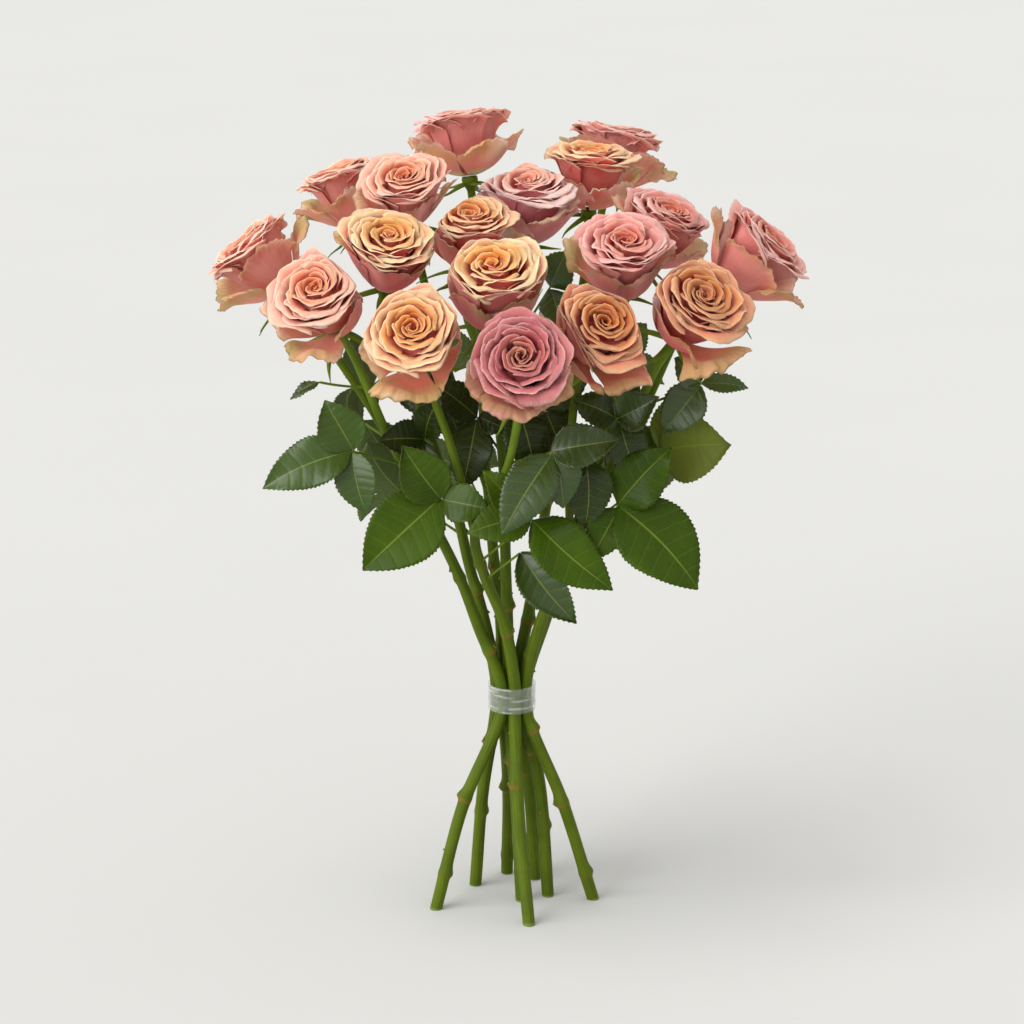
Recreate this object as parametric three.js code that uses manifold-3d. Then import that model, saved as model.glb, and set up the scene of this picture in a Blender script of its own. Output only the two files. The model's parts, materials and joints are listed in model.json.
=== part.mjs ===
// A tied bunch of cut roses that stands on its splayed, level-cut stem ends.
// Millimetres, +Z up, and the front of the bunch faces -Y.
// Eight stems pass through a clear tie. Each one forks among the leaves, as
// spray roses do, and carries two or three blooms.

import * as THREE from "three";
import Module from "manifold-3d";

const wasm = await Module();
wasm.setup();

// ---- Driving dimensions ----------------------------------------------------

// The tie: a short clear sleeve that the stems pass through
const TIE_MIDDLE_Z = 132;
const TIE_HEIGHT = 16;
const TIE_INNER_R = 13.8;
const TIE_WALL = 0.9;
const WAIST_R = 9.8;

// Stems
const TRUNK_R = 3.75;
const FORK_R = 3.1;
const BRANCH_R = 2.5;
const NODE_SWELL = 1.2;
const NODE_SPACING = 50;
const BRANCH_END = 6;
const TRUNK_SIDES = 6;
const BRANCH_SIDES = 6;

// Blooms: each head stands just clear of its calyx
const RECEPTACLE_HEIGHT = 8;
const SEPALS = 5;
const SEPAL_REACH = 24;
const SEAT_GAP = 0.3;
const HEAD_SECTORS = 15;
const HEAD_SCALE = 1.05;
const FOLD_OUT = 7;
const FOLD_DOWN = 12;

// Two blooms that touch press each other flat along the plane between them
const BLOOM_MIDDLE = 20;
const PRESS_GAP = 0.35;
const PRESS_DEPTH = 10;

// Leaves
const LEAF_THICK = 0.8;
const STALK_HALF = 1;
const STALK_THICK = 1.6;
const LEAF_FOLD = 0.16;
const LEAF_ARCH = 0.12;

// Each bloom: the top of its receptacle, the way its axis leans (degrees
// anticlockwise from +X, then degrees from upright), its turn, its size and
// how far each of its five guard petals has folded out and down
const BLOOMS = {
  bloom_01: { at: [-135, -15, 389], lean: [180, 39], turn: 10, size: 1.0,
    fold: [1, 0.1, 0.6, 0, 0.5] },
  bloom_02: { at: [-102, -51, 376], lean: [-116, 42], turn: 40, size: 1.02,
    fold: [0.3, 0.1, 0.2, 0.2, 1] },
  bloom_03: { at: [-93, 46, 417], lean: [169, 20], turn: 75, size: 0.94,
    fold: [0.5, 0.6, 0.2, 0.7, 0.8] },
  bloom_04: { at: [-59, 12, 425], lean: [-105, 27], turn: 5, size: 0.92,
    fold: [0.3, 1, 0.2, 0.2, 0.7] },
  bloom_05: { at: [-26, 66, 443], lean: [128, 12], turn: 58, size: 1.0,
    fold: [0.9, 1, 0.8, 0.3, 0.4] },
  bloom_06: { at: [-74, -35, 398], lean: [-80, 30], turn: 20, size: 1.0,
    fold: [0.2, 0.2, 0.3, 0.4, 0.1] },
  bloom_07: { at: [-26, -5, 402], lean: [-84, 19], turn: 60, size: 0.95,
    fold: [0.9, 0.2, 0.2, 0.1, 0.3] },
  bloom_08: { at: [-53, -70, 363], lean: [-97, 52], turn: 30, size: 1.03,
    fold: [0.9, 0.1, 0.1, 0.1, 1] },
  bloom_09: { at: [-11, -49, 379], lean: [-90, 28], turn: 0, size: 1.13,
    fold: [0.3, 0.1, 0.1, 0.2, 0.4] },
  bloom_10: { at: [5, -90, 354], lean: [-90, 56], turn: 18, size: 0.99,
    fold: [0.3, 0.5, 0.4, 0.3, 0.4] },
  bloom_11: { at: [9, 41, 408], lean: [-90, 16], turn: 66, size: 1.08,
    fold: [0.2, 0.2, 0.2, 0.3, 0.2] },
  bloom_12: { at: [47, 71, 422], lean: [-58, 5], turn: 33, size: 0.96,
    fold: [0.5, 0.2, 1, 0.9, 1] },
  bloom_13: { at: [59, 120, 425], lean: [37, 14], turn: 12, size: 1.0,
    fold: [0.3, 0.4, 0.3, 0.5, 1.2] },
  bloom_14: { at: [63, -30, 392], lean: [-80, 26], turn: 55, size: 1.0,
    fold: [0.2, 0.2, 0.8, 0.4, 0.5] },
  bloom_15: { at: [80, 20, 399], lean: [-24, 26], turn: 25, size: 0.98,
    fold: [1, 0.2, 0.2, 0.2, 0.6] },
  bloom_16: { at: [45, -60, 360], lean: [-74, 47], turn: 70, size: 1.08,
    fold: [0.3, 0.2, 0.2, 0.7, 0.7] },
  bloom_17: { at: [96, -51, 370], lean: [-58, 42], turn: 48, size: 1.06,
    fold: [0.2, 0.1, 0.8, 0.3, 1] },
  bloom_18: { at: [126, -9, 391], lean: [-8, 44], turn: 15, size: 1.07,
    fold: [0.3, 0.4, 0.6, 0.2, 0.6] },
};

// Each stem: its cut foot, a point on its leg, the way it stands in the tie
// (degrees round the waist, and how far out), points from there to its fork,
// and the blooms that its branches carry. The first branch carries the stem on.
const STEMS = {
  stem_front: {
    foot: [10.4, -48.6], leg: [4, -26, 66], waist: [280, WAIST_R],
    rise: [[-5, -17, 184], [-17, -26, 218]], fork: [-22, -36, 246],
    branches: [
      { bloom: "bloom_10", via: [[-2, -61, 296]] },
      { bloom: "bloom_08", via: [[-35, -47, 300]] },
    ],
    nodes: 0.55,
  },
  stem_front_right: {
    foot: [50.6, -7.5], leg: [31, -9.5, 66], waist: [331, WAIST_R],
    rise: [[16, -12, 178], [26, -17, 208]], fork: [36, -23, 238],
    branches: [
      { bloom: "bloom_17", via: [[60, -33, 290]] },
      { bloom: "bloom_14", via: [[52, -24, 300]] },
      { bloom: "bloom_16", via: [[34, -42, 295]] },
    ],
    nodes: 0.2,
  },
  stem_right: {
    foot: [22.5, -2.6], leg: [18, 1, 66], waist: [23, WAIST_R],
    rise: [[20, 3, 178], [31, 5, 210]], fork: [44, 9, 248],
    branches: [
      { bloom: "bloom_18", via: [[78, 4, 310]] },
      { bloom: "bloom_15", via: [[62, 18, 310]] },
    ],
    nodes: 0.75,
  },
  stem_back_right: {
    foot: [14.6, 25.3], leg: [10.5, 18.5, 66], waist: [74, WAIST_R],
    rise: [[10, 17, 178], [16, 29, 212]], fork: [24, 44, 256],
    branches: [
      { bloom: "bloom_13", via: [[44, 84, 340]] },
      { bloom: "bloom_12", via: [[36, 58, 330]] },
    ],
    nodes: 0.4,
  },
  stem_back: {
    foot: [-3.2, 35.3], leg: [-2.5, 24, 66], waist: [126, WAIST_R],
    rise: [[-7, 15, 178], [-11, 21, 212]], fork: [-15, 28, 260],
    branches: [
      { bloom: "bloom_05", via: [[-20, 44, 340]] },
      { bloom: "bloom_04", via: [[-38, 22, 330]] },
    ],
    nodes: 0.1,
  },
  stem_back_left: {
    foot: [-23.1, 15.4], leg: [-18, 11, 66], waist: [177, WAIST_R],
    rise: [[-17, 5, 178], [-26, 8, 212]], fork: [-37, 10, 258],
    branches: [
      { bloom: "bloom_03", via: [[-66, 28, 325]] },
      { bloom: "bloom_06", via: [[-56, -10, 320]] },
    ],
    nodes: 0.85,
  },
  stem_left: {
    foot: [-47.1, -23.5], leg: [-30, -16, 66], waist: [229, WAIST_R],
    rise: [[-20, -9, 178], [-32, -12, 212]], fork: [-47, -17, 246],
    branches: [
      { bloom: "bloom_02", via: [[-75, -29, 308]] },
      { bloom: "bloom_01", via: [[-84, -17, 318]] },
    ],
    nodes: 0.3,
  },
  stem_middle: {
    foot: [6, -10], leg: [2.5, -6, 66], waist: [229, 2.6],
    rise: [[-3, -2, 184], [-4, -4, 225]], fork: [-5, -6, 268],
    branches: [
      { bloom: "bloom_07", via: [[-12, -6, 330]] },
      { bloom: "bloom_09", via: [[-8, -22, 320]] },
      { bloom: "bloom_11", via: [[1, 14, 335]] },
    ],
    nodes: 0.65,
  },
};

// Each compound leaf: the branch and height that it leaves its stem at, the
// joint at the end of its stalk, the way its upper face looks, and the tip and
// width of each leaflet
const LEAVES = {
  stem_left: [
    {
      branch: 0, z: 286, joint: [-93, -42, 298], face: [-0.2, -0.9, 0.4],
      leaflets: [[[-147, -50, 278], 30], [[-110, -42, 329], 29], [[-86, -50, 262], 25]],
    },
    {
      branch: 0, z: 240, joint: [-42, -48, 270], face: [0, -0.9, 0.35],
      leaflets: [[[-88, -62, 231], 43], [[-64, -52, 304], 30], [[-13, -60, 268], 24]],
    },
    {
      branch: 0, z: 334, joint: [-112, -38, 339], face: [0, -0.5, 0.8],
      leaflets: [[[-130, -43, 330], 8]],
    },
    {
      branch: 1, z: 300, joint: [-90, 6, 304], face: [-0.4, 0.5, 0.7],
      leaflets: [[[-116, 26, 282], 28], [[-90, 16, 328], 20], [[-70, 22, 262], 26]],
    },
  ],
  stem_front: [
    {
      branch: 0, z: 296, joint: [22, -64, 303], face: [0, -0.9, 0.4],
      leaflets: [[[62, -68, 312], 26], [[-6, -82, 259], 30], [[30, -72, 272], 26]],
    },
    {
      branch: 0, z: 226, joint: [11, -58, 261], face: [0, -0.85, 0.5],
      leaflets: [[[59, -78, 224], 34], [[-26, -68, 256], 26], [[-16, -62, 292], 24]],
    },
    {
      branch: 0, z: 214, joint: [4, -52, 238], face: [0, -0.9, 0.3],
      leaflets: [[[38, -68, 200], 26]],
    },
  ],
  stem_front_right: [
    {
      branch: 0, z: 240, joint: [62, -50, 266], face: [0.1, -0.85, 0.5],
      leaflets: [[[110, -66, 221], 46], [[93, -52, 303], 32], [[46, -66, 238], 24]],
    },
    {
      branch: 0, z: 322, joint: [110, -31, 336], face: [0.2, -0.7, 0.6],
      leaflets: [[[140, -26, 333], 13], [[89, -36, 308], 26], [[96, -30, 352], 24]],
    },
    {
      branch: 1, z: 286, joint: [62, -38, 316], face: [0.1, -0.9, 0.4],
      leaflets: [[[86, -52, 334], 24], [[36, -44, 330], 22], [[76, -50, 282], 24]],
    },
    {
      branch: 2, z: 270, joint: [42, -50, 296], face: [0.1, -0.85, 0.5],
      leaflets: [[[43, -60, 256], 28], [[22, -56, 282], 22]],
    },
  ],
  stem_right: [
    {
      branch: 0, z: 284, joint: [87, -13, 291], face: [0, -0.95, 0.1],
      leaflets: [[[130, -30, 299], 42], [[102, 8, 322], 22]],
    },
    {
      branch: 0, z: 232, joint: [76, 20, 258], face: [0.6, 0.4, 0.7],
      leaflets: [[[94, 42, 228], 28], [[104, 10, 284], 26], [[78, 50, 240], 26]],
    },
    {
      branch: 1, z: 282, joint: [64, 2, 298], face: [0.2, -0.8, 0.5],
      leaflets: [[[76, -14, 258], 28], [[100, -2, 282], 24], [[70, -8, 338], 24]],
    },
  ],
  stem_back_right: [
    {
      branch: 0, z: 236, joint: [38, 66, 262], face: [0.3, 0.8, 0.5],
      leaflets: [[[58, 104, 238], 34], [[76, 66, 278], 30], [[12, 88, 280], 32]],
    },
    {
      branch: 0, z: 318, joint: [58, 88, 322], face: [0.6, 0.6, 0.5],
      leaflets: [[[96, 96, 306], 32], [[64, 122, 308], 24], [[84, 74, 350], 24]],
    },
  ],
  stem_back: [
    {
      branch: 0, z: 236, joint: [-28, 58, 258], face: [-0.2, 0.85, 0.5],
      leaflets: [[[-46, 96, 234], 34], [[-66, 58, 276], 32], [[-8, 82, 256], 32]],
    },
    {
      branch: 1, z: 300, joint: [-40, 6, 320], face: [-0.2, -0.8, 0.5],
      leaflets: [[[-60, 0, 350], 24], [[-69, 12, 316], 26], [[-28, -2, 286], 20]],
    },
    {
      branch: 0, z: 318, joint: [-22, 66, 328], face: [-0.1, 0.8, 0.5],
      leaflets: [[[-36, 102, 312], 30], [[-56, 66, 344], 24], [[8, 82, 344], 24]],
    },
  ],
  stem_back_left: [
    {
      branch: 0, z: 232, joint: [-66, 20, 254], face: [-0.6, 0.4, 0.7],
      leaflets: [[[-94, 40, 232], 30], [[-88, 4, 292], 28], [[-68, 52, 240], 26]],
    },
    {
      branch: 1, z: 292, joint: [-52, -22, 300], face: [-0.1, -0.9, 0.3],
      leaflets: [[[-56, -34, 266], 24], [[-42, -36, 330], 20], [[-79, -39, 304], 22]],
    },
    {
      branch: 0, z: 308, joint: [-84, 44, 318], face: [-0.6, 0.5, 0.6],
      leaflets: [[[-110, 60, 290], 32], [[-86, 74, 296], 24], [[-98, 34, 350], 24]],
    },
  ],
  stem_middle: [
    {
      branch: 1, z: 300, joint: [4, -38, 322], face: [0, -0.7, 0.7],
      leaflets: [[[28, -50, 330], 20], [[-22, -48, 334], 20], [[14, -48, 286], 28]],
    },
    {
      branch: 2, z: 352, joint: [22, 12, 384], face: [0, -0.8, 0.5],
      leaflets: [[[32, -6, 411], 24], [[34, 0, 352], 22]],
    },
    {
      branch: 0, z: 288, joint: [-20, -20, 312], face: [0, -0.7, 0.6],
      leaflets: [[[-30, -36, 272], 26], [[-48, -24, 336], 24], [[2, -26, 306], 16]],
    },
    {
      branch: 2, z: 296, joint: [16, 0, 318], face: [0.2, -0.8, 0.5],
      leaflets: [[[46, -8, 336], 28], [[34, -20, 282], 26], [[10, -14, 346], 20]],
    },
  ],
};

// ---- Closed bodies ---------------------------------------------------------

// A solid from points and triangles. Points that coincide become one, and a
// triangle that has lost its area by that is left out.
function solid(points, triangles) {
  const places = new Map();
  const coordinates = [];
  const merged = points.map((p) => {
    const key = [p.x, p.y, p.z].map((c) => c.toFixed(4)).join(" ");
    if (!places.has(key)) {
      places.set(key, places.size);
      coordinates.push(p.x, p.y, p.z);
    }
    return places.get(key);
  });
  const kept = triangles
    .map((triangle) => triangle.map((corner) => merged[corner]))
    .filter(([a, b, c]) => a !== b && b !== c && c !== a);
  return new wasm.Manifold(new wasm.Mesh({
    numProp: 3,
    vertProperties: new Float32Array(coordinates),
    triVerts: new Uint32Array(kept.flat()),
  }));
}

// A closed body through rings of equally many points, each ring
// anticlockwise as seen from the far end, with a flat cap at either end
function loft(rings) {
  const sides = rings[0].length;
  const triangles = [];
  for (let ring = 0; ring + 1 < rings.length; ring++) {
    for (let side = 0; side < sides; side++) {
      const a = ring * sides + side;
      const b = ring * sides + (side + 1) % sides;
      triangles.push([a, b, b + sides], [a, b + sides, a + sides]);
    }
  }
  const last = (rings.length - 1) * sides;
  for (let side = 1; side + 1 < sides; side++) {
    triangles.push([0, side + 1, side], [last, last + side, last + side + 1]);
  }
  return solid(rings.flat(), triangles);
}

// A thin closed blade over a sheet of triangles, split alike on both faces.
// Each point has its own thickness.
function blade(points, triangles, thickness) {
  const normals = points.map(() => new THREE.Vector3());
  const edges = new Map();
  for (const corners of triangles) {
    const [a, b, c] = corners.map((corner) => points[corner]);
    const normal = b.clone().sub(a).cross(c.clone().sub(a));
    corners.forEach((corner, at) => {
      const next = corners[(at + 1) % 3];
      normals[corner].add(normal);
      if (!edges.delete(`${next} ${corner}`)) edges.set(`${corner} ${next}`, [corner, next]);
    });
  }
  const side = (way) => points.map((point, at) => point.clone()
    .addScaledVector(normals[at].clone().normalize(), (way * thickness[at]) / 2));
  const behind = points.length;
  const closed = triangles.flatMap(([a, b, c]) => [
    [a, b, c], [a + behind, c + behind, b + behind],
  ]);
  for (const [a, b] of edges.values()) {
    closed.push([a, a + behind, b + behind], [a, b + behind, b]);
  }
  return solid(side(1).concat(side(-1)), closed);
}

function joined(bodies) {
  return bodies.reduce((whole, body) => whole.add(body));
}

function named(name, body, colour, roughness, points = (vertices) => vertices) {
  const { vertProperties, triVerts } = body.getMesh();
  const geometry = new THREE.BufferGeometry();
  geometry.setAttribute("position",
    new THREE.BufferAttribute(points(new Float32Array(vertProperties)), 3));
  geometry.setIndex(new THREE.BufferAttribute(new Uint32Array(triVerts), 1));
  const material = new THREE.MeshStandardMaterial({ color: colour, roughness, metalness: 0 });
  const mesh = new THREE.Mesh(geometry, material);
  mesh.name = name;
  return mesh;
}

const vector = (values) => new THREE.Vector3(...values);
const mix = (from, to, share) => from + (to - from) * share;

function seeded(seed) {
  let state = seed;
  return () => {
    state = (state + 0x6d2b79f5) | 0;
    let mixed = Math.imul(state ^ (state >>> 15), 1 | state);
    mixed = (mixed + Math.imul(mixed ^ (mixed >>> 7), 61 | mixed)) ^ mixed;
    return ((mixed ^ (mixed >>> 14)) >>> 0) / 4294967296;
  };
}

// ---- Blooms ----------------------------------------------------------------

function bloomFrame({ at, lean, turn }) {
  const heading = THREE.MathUtils.degToRad(lean[0]);
  const tilt = THREE.MathUtils.degToRad(lean[1]);
  const axis = new THREE.Vector3(Math.sin(tilt) * Math.cos(heading),
    Math.sin(tilt) * Math.sin(heading), Math.cos(tilt));
  const first = new THREE.Vector3(Math.cos(tilt) * Math.cos(heading),
    Math.cos(tilt) * Math.sin(heading), -Math.sin(tilt));
  return { base: vector(at), axis, first, second: axis.clone().cross(first),
    turn: THREE.MathUtils.degToRad(turn) };
}

// A point at a radius, an angle and a height on the bloom's own axis
function onBloom(frame, radius, angle, height) {
  const place = frame.base.clone().addScaledVector(frame.axis, height);
  place.addScaledVector(frame.first, radius * Math.cos(angle + frame.turn));
  return place.addScaledVector(frame.second, radius * Math.sin(angle + frame.turn));
}

// How a petal's edge stands off its ring: the ring is cut into as many petals
// as it has lobes, notched where two meet, and each laps the next
function petalEdge(share, lobes, start) {
  const place = ((share - start) * lobes + lobes) % 1;
  const notch = place < 0.01 || place > 0.99 ? 1 : 0;
  const lap = notch ? 0 : 1 - 2 * place;
  return { notch, lap, petal: Math.floor((share - start) * lobes + lobes) % lobes };
}

// A notch folds only as far as the less folded of its two petals
function petalFold(bloom, petal, notch) {
  const fold = bloom.fold[petal];
  return notch ? Math.min(fold, bloom.fold[(petal + 4) % 5]) : fold;
}

// Each petal stands a little higher or further out than its fellows
function petalMood(bloom, petal) {
  return Math.sin(petal * 2.4 + bloom.turn) * Math.cos(petal * 1.3 - bloom.turn);
}

// The head is one body: rings that climb the guard petals' outside, go over
// their rim and down, and rise again at each inner layer of petals
const HEAD_RINGS = [
  { radius: 4.4, height: SEAT_GAP },
  { radius: 12.5, height: 5.5, lobes: 5, cut: 0.2, lap: 0.3 },
  { radius: 19.5, height: 13.5, lobes: 5, cut: 0.5, lap: 0.8, fold: 0.3 },
  { radius: 23.5, height: 23, lobes: 5, cut: 1.2, lap: 1.2, mood: 0.5, fold: 0.7 },
  { radius: 28.5, height: 32.5, lobes: 5, cut: 4, lap: 1.5, mood: 2, fold: 1 },
  { radius: 27.5, height: 33.1, lobes: 5, cut: 4, lap: 1.5, mood: 2, fold: 1 },
  { radius: 21.5, height: 27, lobes: 5, cut: 0.4, lap: 0.4, fold: 0.5, out: 0.1 },
  { radius: 26.5, height: 36, lobes: 5, shift: 1, cut: 2.4, lap: 1.2, mood: 0.8 },
  { radius: 19.5, height: 32.5, lobes: 5, shift: 1, cut: 0.4 },
  { radius: 15.5, height: 38.8, lobes: 3, cut: 1.6, lap: 1.2 },
  { radius: 11, height: 33, lobes: 3, cut: 0.3 },
  { radius: 8, height: 38.3, lobes: 3, shift: 2, cut: 1.2, lap: 0.9 },
  { radius: 2.4, height: 33.5 },
];

function head(frame, bloom) {
  return loft(HEAD_RINGS.map((ring) => {
    const points = [];
    for (let sector = 0; sector < HEAD_SECTORS; sector++) {
      const share = sector / HEAD_SECTORS;
      const { notch, lap, petal } = petalEdge(share, ring.lobes ?? 1,
        (ring.shift ?? 0) / HEAD_SECTORS);
      const cut = (ring.cut ?? 0) * notch;
      const mood = (ring.mood ?? 0) * (1 - notch) * petalMood(bloom, petal);
      const fold = ring.fold ? ring.fold * petalFold(bloom, petal, notch) : 0;
      const radius = ring.radius - 0.6 * cut + (ring.lap ?? 0) * lap + 0.6 * mood
        + FOLD_OUT * fold * (ring.out ?? 1);
      const height = ring.height - cut + mood - FOLD_DOWN * fold;
      const scale = height > SEAT_GAP ? bloom.size * HEAD_SCALE : 1;
      points.push(onBloom(frame, radius * scale, share * 2 * Math.PI, height * scale));
    }
    return points;
  }));
}

const middles = Object.fromEntries(Object.entries(BLOOMS).map(([name, bloom]) => {
  const frame = bloomFrame(bloom);
  return [name, frame.base.clone().addScaledVector(frame.axis, BLOOM_MIDDLE)];
}));

// Presses a point of one bloom back from the planes half-way to the others,
// softly from PRESS_DEPTH before each plane
function pressed(name, point) {
  const own = middles[name];
  for (let pass = 0; pass < 3; pass++) {
    for (const [other, middle] of Object.entries(middles)) {
      if (other === name) continue;
      const away = middle.clone().sub(own);
      const limit = away.length() / 2 - PRESS_GAP;
      away.normalize();
      const reach = point.clone().sub(own).dot(away);
      const start = limit - PRESS_DEPTH;
      if (reach <= start) continue;
      const soft = start + PRESS_DEPTH * (1 - Math.exp((start - reach) / PRESS_DEPTH));
      point.addScaledVector(away, soft - reach);
    }
  }
  return point;
}

function bloomMesh(name) {
  const bloom = BLOOMS[name];
  const frame = bloomFrame(bloom);
  const press = (vertices) => {
    for (let at = 0; at < vertices.length; at += 3) {
      const point = pressed(name, new THREE.Vector3().fromArray(vertices, at));
      point.toArray(vertices, at);
    }
    return vertices;
  };
  return named(name, head(frame, bloom), "#d28477", 0.65, press);
}

// ---- Stems -----------------------------------------------------------------

// A ring of points round a path, square to it, with a fixed sense of direction
function ringRound(centre, along, radius, sides) {
  const first = new THREE.Vector3(1, 0, 0).addScaledVector(along, -along.x).normalize();
  const second = along.clone().cross(first);
  const ring = [];
  for (let side = 0; side < sides; side++) {
    const angle = (side * 2 * Math.PI) / sides;
    ring.push(centre.clone().addScaledVector(first, radius * Math.cos(angle))
      .addScaledVector(second, radius * Math.sin(angle)));
  }
  return ring;
}

// The part of a path that approaches a bloom ends on the bloom's own axis
function approach(name) {
  const { base, axis } = bloomFrame(BLOOMS[name]);
  return [34, 16, 0].map((back) => base.clone().addScaledVector(axis, -back));
}

function waistPoint([degrees, radius], z) {
  const angle = THREE.MathUtils.degToRad(degrees);
  return new THREE.Vector3(radius * Math.cos(angle), radius * Math.sin(angle), z);
}

function stemPaths(stem) {
  const half = TIE_HEIGHT / 2 + 1;
  const trunk = [
    vector([...stem.foot, 0]), vector(stem.leg),
    waistPoint(stem.waist, TIE_MIDDLE_Z - half), waistPoint(stem.waist, TIE_MIDDLE_Z + half),
    ...stem.rise.map(vector), vector(stem.fork),
  ];
  return stem.branches.map(({ bloom, via }, order) => {
    const rest = [...via.map(vector), ...approach(bloom)];
    const below = vector(stem.rise[stem.rise.length - 1]);
    const start = vector(stem.fork).lerp(below, 0.12);
    return new THREE.CatmullRomCurve3(order === 0 ? [...trunk, ...rest] : [start, ...rest]);
  });
}

// The share of a path's length at which it reaches a height
function shareAtHeight(path, z) {
  let low = 0;
  let high = 1;
  for (let step = 0; step < 30; step++) {
    const middle = (low + high) / 2;
    if (path.getPointAt(middle).z < z) low = middle;
    else high = middle;
  }
  return (low + high) / 2;
}

function ringsAlong(path, stations, radiusAt, sides) {
  const length = path.getLength();
  return stations.map((distance) => ringRound(path.getPointAt(distance / length),
    path.getTangentAt(distance / length), radiusAt(distance), sides));
}

// The trunk swells at its leaf scars, and its foot is cut level
function trunkBody(stem, path) {
  const length = path.getLength();
  const forkAt = shareAtHeight(path, stem.fork[2]) * length;
  const waistAt = shareAtHeight(path, TIE_MIDDLE_Z) * length;
  const stations = [0];
  const swollen = new Set();
  for (let at = NODE_SPACING * stem.nodes + 8; at < forkAt; at += NODE_SPACING) {
    if (Math.abs(at - waistAt) < 18) continue;
    stations.push(at - 3.5, at, at + 3.5);
    swollen.add(at);
  }
  stations.push(waistAt - 10, waistAt + 10);
  for (let at = forkAt + 8; at < length - BRANCH_END; at += 30) stations.push(at);
  stations.push(length - BRANCH_END);
  stations.sort((a, b) => a - b);
  const radiusAt = (distance) => {
    const past = THREE.MathUtils.smoothstep(distance, forkAt - 6, forkAt + 14);
    const above = THREE.MathUtils.smoothstep(distance, waistAt + 14, forkAt);
    const plain = mix(mix(TRUNK_R, FORK_R, above), BRANCH_R, past);
    return swollen.has(distance) ? plain * NODE_SWELL : plain;
  };
  const rings = ringsAlong(path, stations, radiusAt, TRUNK_SIDES);
  const down = path.getTangentAt(0);
  rings[0] = rings[0].map((point) => point.addScaledVector(down, -point.z / down.z));
  return loft(rings);
}

function sideBranchBody(path) {
  const length = path.getLength();
  const stations = [0];
  for (let at = 14; at < length - BRANCH_END - 10; at += 30) stations.push(at);
  stations.push(length - BRANCH_END);
  return loft(ringsAlong(path, stations, () => BRANCH_R, BRANCH_SIDES));
}

// The calyx: the receptacle's cup, with a star of five sepals that hang from it
function calyx(bloom) {
  const frame = bloomFrame(bloom);
  const rings = [
    { height: -RECEPTACLE_HEIGHT, radius: 1.9 }, { height: -4.2, radius: 4.2, tip: 1 },
    { height: -3.2, radius: 4.8, tip: 0 }, { height: 0, radius: 4.6 },
  ];
  return loft(rings.map(({ height, radius, tip }) => {
    const points = [];
    for (let corner = 0; corner < 2 * SEPALS; corner++) {
      const angle = (corner * Math.PI) / SEPALS;
      const point = corner % 2 === 1 && tip !== undefined;
      const hang = 9 + 5 * Math.sin(corner * 1.05 + bloom.turn);
      points.push(point ? onBloom(frame, SEPAL_REACH, angle, height - hang + tip * 0.2)
        : onBloom(frame, radius, angle, height));
    }
    return points;
  }));
}

// ---- Leaves ----------------------------------------------------------------

// Half the width of a leaflet along its length, with a saw-toothed edge
const LEAFLET_OUTLINE = [[0, 0.07], [0.13, 0.68], [0.36, 1.02], [0.6, 0.86], [0.81, 0.58], [1, 0]];

// A leaflet's rows of left edge, midrib and right edge, from its root to its
// tip. It arches along its length and folds up from its midrib.
function leafletRows(base, tip, width, face) {
  const along = tip.clone().sub(base);
  const length = along.length();
  along.normalize();
  const up = face.clone().addScaledVector(along, -face.dot(along)).normalize();
  const right = along.clone().cross(up);
  return LEAFLET_OUTLINE.map(([place, half]) => [-1, 0, 1].map((edge) => {
    const across = (edge * half * width) / 2;
    const rise = LEAF_FOLD * Math.abs(across) + LEAF_ARCH * length * 2 * place * (1 - place);
    return base.clone().addScaledVector(along, length * place)
      .addScaledVector(right, across).addScaledVector(up, rise);
  }));
}

// A compound leaf is one blade: a narrow stalk that ends in a small square
// joint, with a leaflet on each free side of the joint
function leafBody(leaf, paths) {
  const path = paths[leaf.branch];
  const start = path.getPointAt(shareAtHeight(path, leaf.z));
  const joint = vector(leaf.joint);
  const face = vector(leaf.face).normalize();
  const along = joint.clone().sub(start).normalize();
  const right = along.clone().cross(face).normalize();
  const points = [];
  const thickness = [];
  const triangles = [];
  const put = (point, thick) => {
    points.push(point);
    thickness.push(thick);
    return points.length - 1;
  };
  const across = (middle, way) => middle.clone().addScaledVector(right, way * STALK_HALF);
  const bow = start.clone().lerp(joint, 0.5).addScaledVector(face, -2);
  const rows = [start, bow, joint, joint.clone().addScaledVector(along, 2 * STALK_HALF)];
  const rail = rows.map((middle) => [-1, 1].map((way) => put(across(middle, way), STALK_THICK)));
  for (let row = 0; row + 1 < rail.length; row++) {
    const [[a, b], [d, c]] = [rail[row], rail[row + 1]];
    triangles.push([a, b, c], [a, c, d]);
  }
  const [back, front] = rail.slice(-2);
  const sides = { left: [front[0], back[0]], tip: [front[1], front[0]], right: [back[1], front[1]] };
  for (const { side, tip, width } of placed(leaf, joint, along, right)) {
    const [near, far] = sides[side];
    const base = points[near].clone().lerp(points[far], 0.5);
    const rowsOut = leafletRows(base, vector(tip), width, face);
    const root = [far, near];
    const grid = rowsOut.slice(1, -1).map((row) => row.map((point) => put(point, LEAF_THICK)));
    const end = put(rowsOut[rowsOut.length - 1][0], LEAF_THICK);
    const first = grid[0];
    triangles.push([root[0], first[1], first[0]], [root[0], root[1], first[1]],
      [root[1], first[2], first[1]]);
    for (let row = 0; row + 1 < grid.length; row++) {
      for (let at = 0; at < 2; at++) {
        const [a, b] = [grid[row][at], grid[row][at + 1]];
        const [d, c] = [grid[row + 1][at], grid[row + 1][at + 1]];
        triangles.push([a, b, c], [a, c, d]);
      }
    }
    const last = grid[grid.length - 1];
    triangles.push([last[0], last[1], end], [last[1], last[2], end]);
  }
  return blade(points, triangles, thickness);
}

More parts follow.
